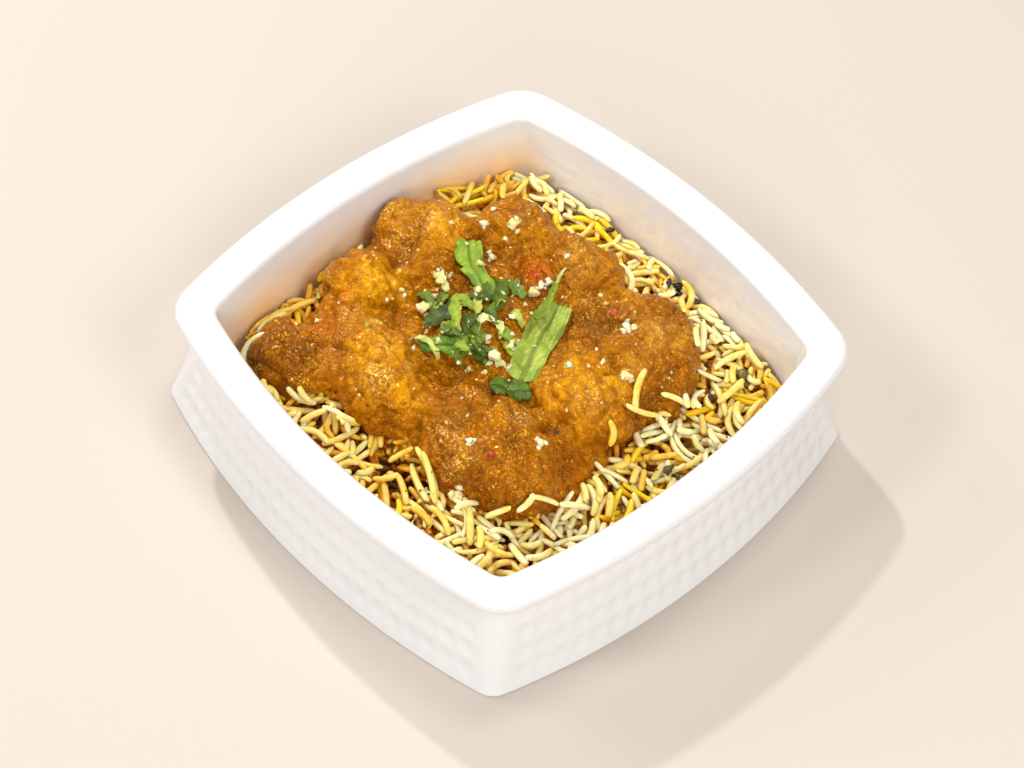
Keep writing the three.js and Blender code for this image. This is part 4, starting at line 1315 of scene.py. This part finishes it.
# %% Shreds
SHREDS = (
    (-21.2, -9.8, 8.1, 6.4, -123, 0.0, 0.5, 0.12), (-3.1, -11.7, 6.4, 5.1, 13, 0.0, 0.8, 0.14),
    (-14.5, 8.8, 15, 3.8, -46, -0.9, 0.8, 0.22), (-2.0, -9.7, 6.1, 3.2, 16, 0.0, 0.9, 0.25),
    (-9.6, 0.4, 7.0, 2.9, -18, 0.0, 0.9, 0.22), (-11, -7, 8.0, 3.4, -60, 0.0, 0.8, 0.10),
    (-17, 2.5, 7.0, 3.2, 30, 0.0, 0.8, 0.16), (-12.5, -13, 7.0, 3.2, 20, 0.0, 0.8, 0.20),
    (-8.2, -7.0, 7.9, 3.2, -4, 0.0, 0.7, 0.35), (-31.2, -5.7, 5.7, 3.2, -6, 0.0, 0.6, 0.30),
    (-27.2, -2.2, 6.2, 2.6, -71, 0.0, 0.8, 0.40), (-17.4, 6.4, 7.8, 1.9, -26, 0.0, 0.7, 0.30),
    (-5.9, -16.1, 4.0, 2.2, 5, 0.0, 0.6, 0.35), (-0.2, -11.5, 2.7, 1.9, 23, 0.0, 0.6, 0.30),
    (-14.8, 15.8, 8.4, 3.8, -19, 0.0, 0.7, 0.38), (-16.8, -6.3, 17.7, 3.5, -46, 1.5, 0.6, 0.60),
    (-1.5, -0.6, 6.4, 2.9, -2, 0.0, 0.8, 0.50), (-17.0, -2.0, 5.2, 2.6, 0, 0.0, 0.7, 0.50),
    (-14.2, -11.6, 5.1, 3.2, 65, 0.0, 0.7, 0.48), (-6.0, -9.1, 6.4, 2.9, -15, 0.0, 0.8, 0.52),
    (1.1, -2.4, 5.1, 2.6, -18, 0.0, 0.8, 0.62), (0.8, -7.9, 5.3, 2.6, -2, 0.0, 0.9, 0.42),
    (-26.6, -5.0, 5.9, 2.2, 89, 0.0, 0.9, 0.60), (-6.2, -13.8, 5.5, 2.6, 9, 0.0, 0.8, 0.55),
    (-12, 5.5, 8.0, 2.4, -70, 0.6, 0.8, 0.55), (-20.5, -1.5, 7.0, 2.4, 30, -0.6, 0.8, 0.52),
    (-15.7, -18.9, 10.8, 1.9, -6, 0.0, 0.6, 0.85), (-13.7, -1.2, 8.8, 2.2, -44, 0.0, 1.0, 0.80),
    (-4.5, 6.1, 5.6, 2.9, -3, 0.0, 0.8, 0.75), (4.2, -8.0, 3.2, 2.4, 58, 0.0, 1.2, 0.95),
    (-31.2, 0.7, 5.9, 2.6, -14, 0.0, 1.3, 0.95), (-8.6, -2.9, 5.9, 2.7, 74, -1.6, 0.9, 1.00),
    (-4.8, -0.7, 5.7, 2.2, -22, -1.2, 0.9, 0.90), (-5.7, 19.8, 17.5, 2.4, 115, 0.8, 0.5, 0.42),
    (-10.6, 30.2, 5.0, 0.8, 103, -0.3, 0.3, 0.85),
)


def shred_template():
    bm = bmesh.new()
    bmesh.ops.create_grid(bm, x_segments=14, y_segments=4, size=1)
    raised = new_vertices(bmesh.ops.extrude_face_region(bm, geom=bm.faces[:]))
    bmesh.ops.translate(bm, verts=raised, vec=(0, 0, 1))
    return as_template(bm)


shred_corners, shred_faces = shred_template()


def shred_shape(x, y, length, width, turn, bow, curl, rise):
    """Corners of one strip that lies on what is below it, drooping over its ends."""
    turn = math.radians(turn)
    u, v, side = shred_corners.T
    taper = 1 - 0.45 * (0.5 + 0.5 * u) ** 2 - 0.14 * np.sin(u * 9 + x) * np.sign(v)
    taper -= 0.1 * np.sin(u * 4 + y)
    along = (u + 0.12 * v * math.sin(3 * x + y)) * length / 2
    across = v * width * 0.58 * taper
    bend = bow * (u * u - 0.4)
    px = x + along * math.cos(turn) - (across + bend) * math.sin(turn)
    py = y + along * math.sin(turn) + (across + bend) * math.cos(turn)
    ground = np.array([top_at(a, b) for a, b in zip(px, py)])
    level = ground.max() * 0.35 + ground * 0.65
    smooth = np.polyval(np.polyfit(u, level, 3), u)
    lifted = np.maximum(smooth, ground - 0.3) + 0.25 + rise * (1 - u * u) + 0.35 * curl * width * v * v
    return np.column_stack((px, py, lifted + side * 0.3))


shreds = [shred_shape(*strip[:-1], 0.3 + 0.8 * dice.random()) for strip in SHREDS]
shred_mesh = joined_mesh("chopped_coriander", shred_faces, shreds, [shade for *_, shade in SHREDS])


GREENS = [
    (0.0, (0.022, 0.034, 0.006)), (0.3, (0.10, 0.16, 0.012)), (0.6, (0.27, 0.36, 0.025)),
    (0.8, (0.46, 0.50, 0.09)), (1.0, (0.72, 0.74, 0.38)),
]


def shred_material():
    chain = NodeChain("chopped_leaf")
    blotch = chain.maths("MULTIPLY", chain.maths("SUBTRACT", chain.noise(0.5, detail=3), 0.5), 0.6)
    shade = chain.maths("ADD", chain.attribute("tint"), blotch)
    chain.give("Base Color", chain.ramp(shade, GREENS))
    chain.set(Roughness=0.36, Specular_IOR_Level=0.3)
    chain.give("Normal", chain.bump(chain.noise(1.0, detail=3), depth_mm=0.15))
    return chain.material


shred_piece = mesh_piece("chopped_coriander", shred_mesh, shred_material(), crisp=50)
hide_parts("coriander_chopped")
lay(shred_piece)

# %% [markdown]
# ## Crumbs and other small bits
#
# Pale crumbs of nut and onion lie on the gravy and the leaves. The larger ones have their places listed,
# as x, y and radius, and each gets three small ones pressed against it. The rest are scattered over the
# heap, most of them near its middle. A crumb is a small ico sphere made angular with noise.

# %% Crumbs
CRUMBS = (
    (-39.0, 24.8, 1.5), (-32.0, 30.6, 2.1), (-29.3, 14.3, 1.2), (-32.1, 4.5, 1.2), (-37.4, -9.6, 1.0),
    (-17.7, -22.6, 1.1), (-5.2, -5.2, 1.6), (34.0, -20.6, 1.8), (31.5, 15.9, 1.9), (18.8, 29.2, 2.1),
    (-31.1, 20.6, 1.5), (-14.3, -15.7, 1.2), (-28.2, -8.6, 2.3), (0.5, 0.7, 1.4), (1.6, -1.9, 1.3),
    (1.8, -8.6, 1.9), (5.2, -6.0, 1.2), (-12.7, 24.3, 1.5), (-12.3, 27.2, 1.6), (-12.6, 20.9, 1.7),
    (-8.9, 13.8, 1.1), (-4.8, -16.5, 1.0), (-2.4, -14.4, 1.2), (2.0, -12.4, 1.0), (24.5, -42.8, 2.1),
    (19.5, -34.1, 1.5), (18.6, 5.2, 1.2), (24.4, 13.1, 1.0), (-35.3, -10.5, 0.9), (-36.7, -16.1, 1.0),
    (-31.4, 0.3, 1.4), (-30.5, -2.9, 1.3), (-47.3, -34.3, 0.8), (-34.5, 2.1, 0.9), (-44.0, 15.7, 0.9),
    (-35.7, 14.6, 0.8), (-41.9, 31.2, 1.1), (-31.1, 26.2, 1.0), (-12.9, 34.7, 1.0), (1.5, 35.3, 0.9),
    (-18.5, 3.5, 1.5), (-4.8, 4.4, 1.0), (19.6, 15.3, 0.8),
)
TINY_CRUMBS = 110
CRUMBLY = ((-8, 2, 24, 0.8),)


def crumb_template():
    bm = bmesh.new()
    bmesh.ops.create_icosphere(bm, subdivisions=2, radius=1)
    return as_template(bm)


crumb_corners, crumb_faces = crumb_template()


def crumb_shape(x, y, radius, seed):
    rough = np.array([noise.noise(Vector(corner * 1.5) + Vector((seed, 0, 0))) for corner in crumb_corners])
    stretch = np.array([1.1, 0.85, 0.7]) * (1 + 0.2 * np.sin(seed * np.array([1.0, 2.0, 3.0])))
    shape = crumb_corners * (1 + 0.9 * rough[:, None]) * stretch * radius * 0.9
    cosine, sine = math.cos(seed), math.sin(seed)
    px = x + shape[:, 0] * cosine - shape[:, 1] * sine
    py = y + shape[:, 0] * sine + shape[:, 1] * cosine
    return np.column_stack((px, py, top_at(x, y) + radius * 0.35 + shape[:, 2]))


crumbs = list(CRUMBS)
while len(crumbs) < len(CRUMBS) + TINY_CRUMBS:
    x, y = dice.uniform(-60, 42), dice.uniform(-54, 46)
    if at_cell(curry_top, x, y) > 27 and dice.random() < 0.25 + spots(x, y, CRUMBLY):
        crumbs.append((x, y, dice.uniform(0.3, 0.65)))
for x, y, radius in CRUMBS:
    if radius > 1.1:
        for turn in (0.5, 2.6, 4.7):
            beside = 0.8 * radius
            place = x + beside * math.cos(turn + x), y + beside * math.sin(turn + x)
            crumbs.append((*place, 0.55 * radius))
crumb_shapes = [crumb_shape(x, y, 0.9 * size, 1.7 * seed) for seed, (x, y, size) in enumerate(crumbs)]
crumb_tints = [dice.random() * 0.5 if radius > 0.7 else dice.uniform(0.3, 1) for x, y, radius in crumbs]
crumb_mesh = joined_mesh("crumbs", crumb_faces, crumb_shapes, crumb_tints)
CRUMB_STOPS = [(0.12, (0.93, 0.78, 0.48)), (0.45, (0.91, 0.65, 0.26)), (0.9, (0.87, 0.50, 0.08))]
mesh_piece("crumbs", crumb_mesh, rice_material("pale_crumb", CRUMB_STOPS))

# %% [markdown]
# Whole spices and dark leaf bits sit in the rice, with a dusting of pepper, and a few beads of chilli and
# red pepper shine on the gravy. They are listed as x, y, radius and tint, and use the crumb's shape. The
# tint runs from black over green-brown to red.

# %% Spices and specks
SPICES = (
    (9.1, 62.4, 1.7, 0.02), (7.2, 59.8, 1.5, 0.05), (11.2, 60.6, 1.3, 0.02), (16.5, 62.6, 1.5, 0.04),
    (13.8, 60.5, 1.2, 0.08), (8.5, 55.2, 1.1, 0.06), (-20.2, 61.3, 1.3, 0.05), (48.2, 13.5, 1.5, 0.06),
    (58.6, 11.4, 2.1, 0.35), (57.2, 9.6, 1.8, 0.30), (46.9, 51.0, 2.0, 0.38), (49.5, 50.2, 1.6, 0.33),
    (46.5, 37.7, 1.1, 0.10), (51.3, -39.1, 1.7, 0.15), (27.3, -33.2, 1.0, 0.85),
    (-17.5, 26.2, 1.0, 0.98), (-30.1, -29.7, 1.2, 0.55), (11.7, 30.6, 1.1, 0.90),
    (30.9, -11.1, 0.8, 0.2),
)
SPECKS = 150
SPECK_TINTS = (0.05, 0.12, 0.3, 0.7)
TINT_SHARES = (0.5, 0.25, 0.15, 0.1)

spices = list(SPICES)
while len(spices) < len(SPICES) + SPECKS:
    x, y = dice.uniform(-60, 64), dice.uniform(-60, 64)
    if clearance(x, y, 18) > 2 and dice.random() < 0.12 + 0.88 * at_cell(open_rice, x, y):
        radius = 0.16 + 0.22 * dice.random() ** 2
        spices.append((x, y, radius, dice.choice(SPECK_TINTS, p=TINT_SHARES)))
spice_shapes = [crumb_shape(x, y, size, 2.3 * seed) for seed, (x, y, size, _) in enumerate(spices)]
spice_mesh = joined_mesh("spices", crumb_faces, spice_shapes, [tint for *_, tint in spices])
SPICE_STOPS = [
    (0.02, (0.010, 0.006, 0.005)), (0.2, (0.06, 0.025, 0.010)), (0.4, (0.13, 0.12, 0.025)),
    (0.58, (0.42, 0.45, 0.03)), (0.8, (0.30, 0.010, 0.006)), (0.95, (0.62, 0.06, 0.008)),
]
spice_chain = NodeChain("spice_bits")
spice_chain.give("Base Color", spice_chain.ramp(spice_chain.attribute("tint"), SPICE_STOPS))
spice_chain.set(Roughness=0.3)
spice_chain.give("Normal", spice_chain.bump(spice_chain.noise(1.6, detail=2), depth_mm=0.15))
mesh_piece("spices", spice_mesh, spice_chain.material)
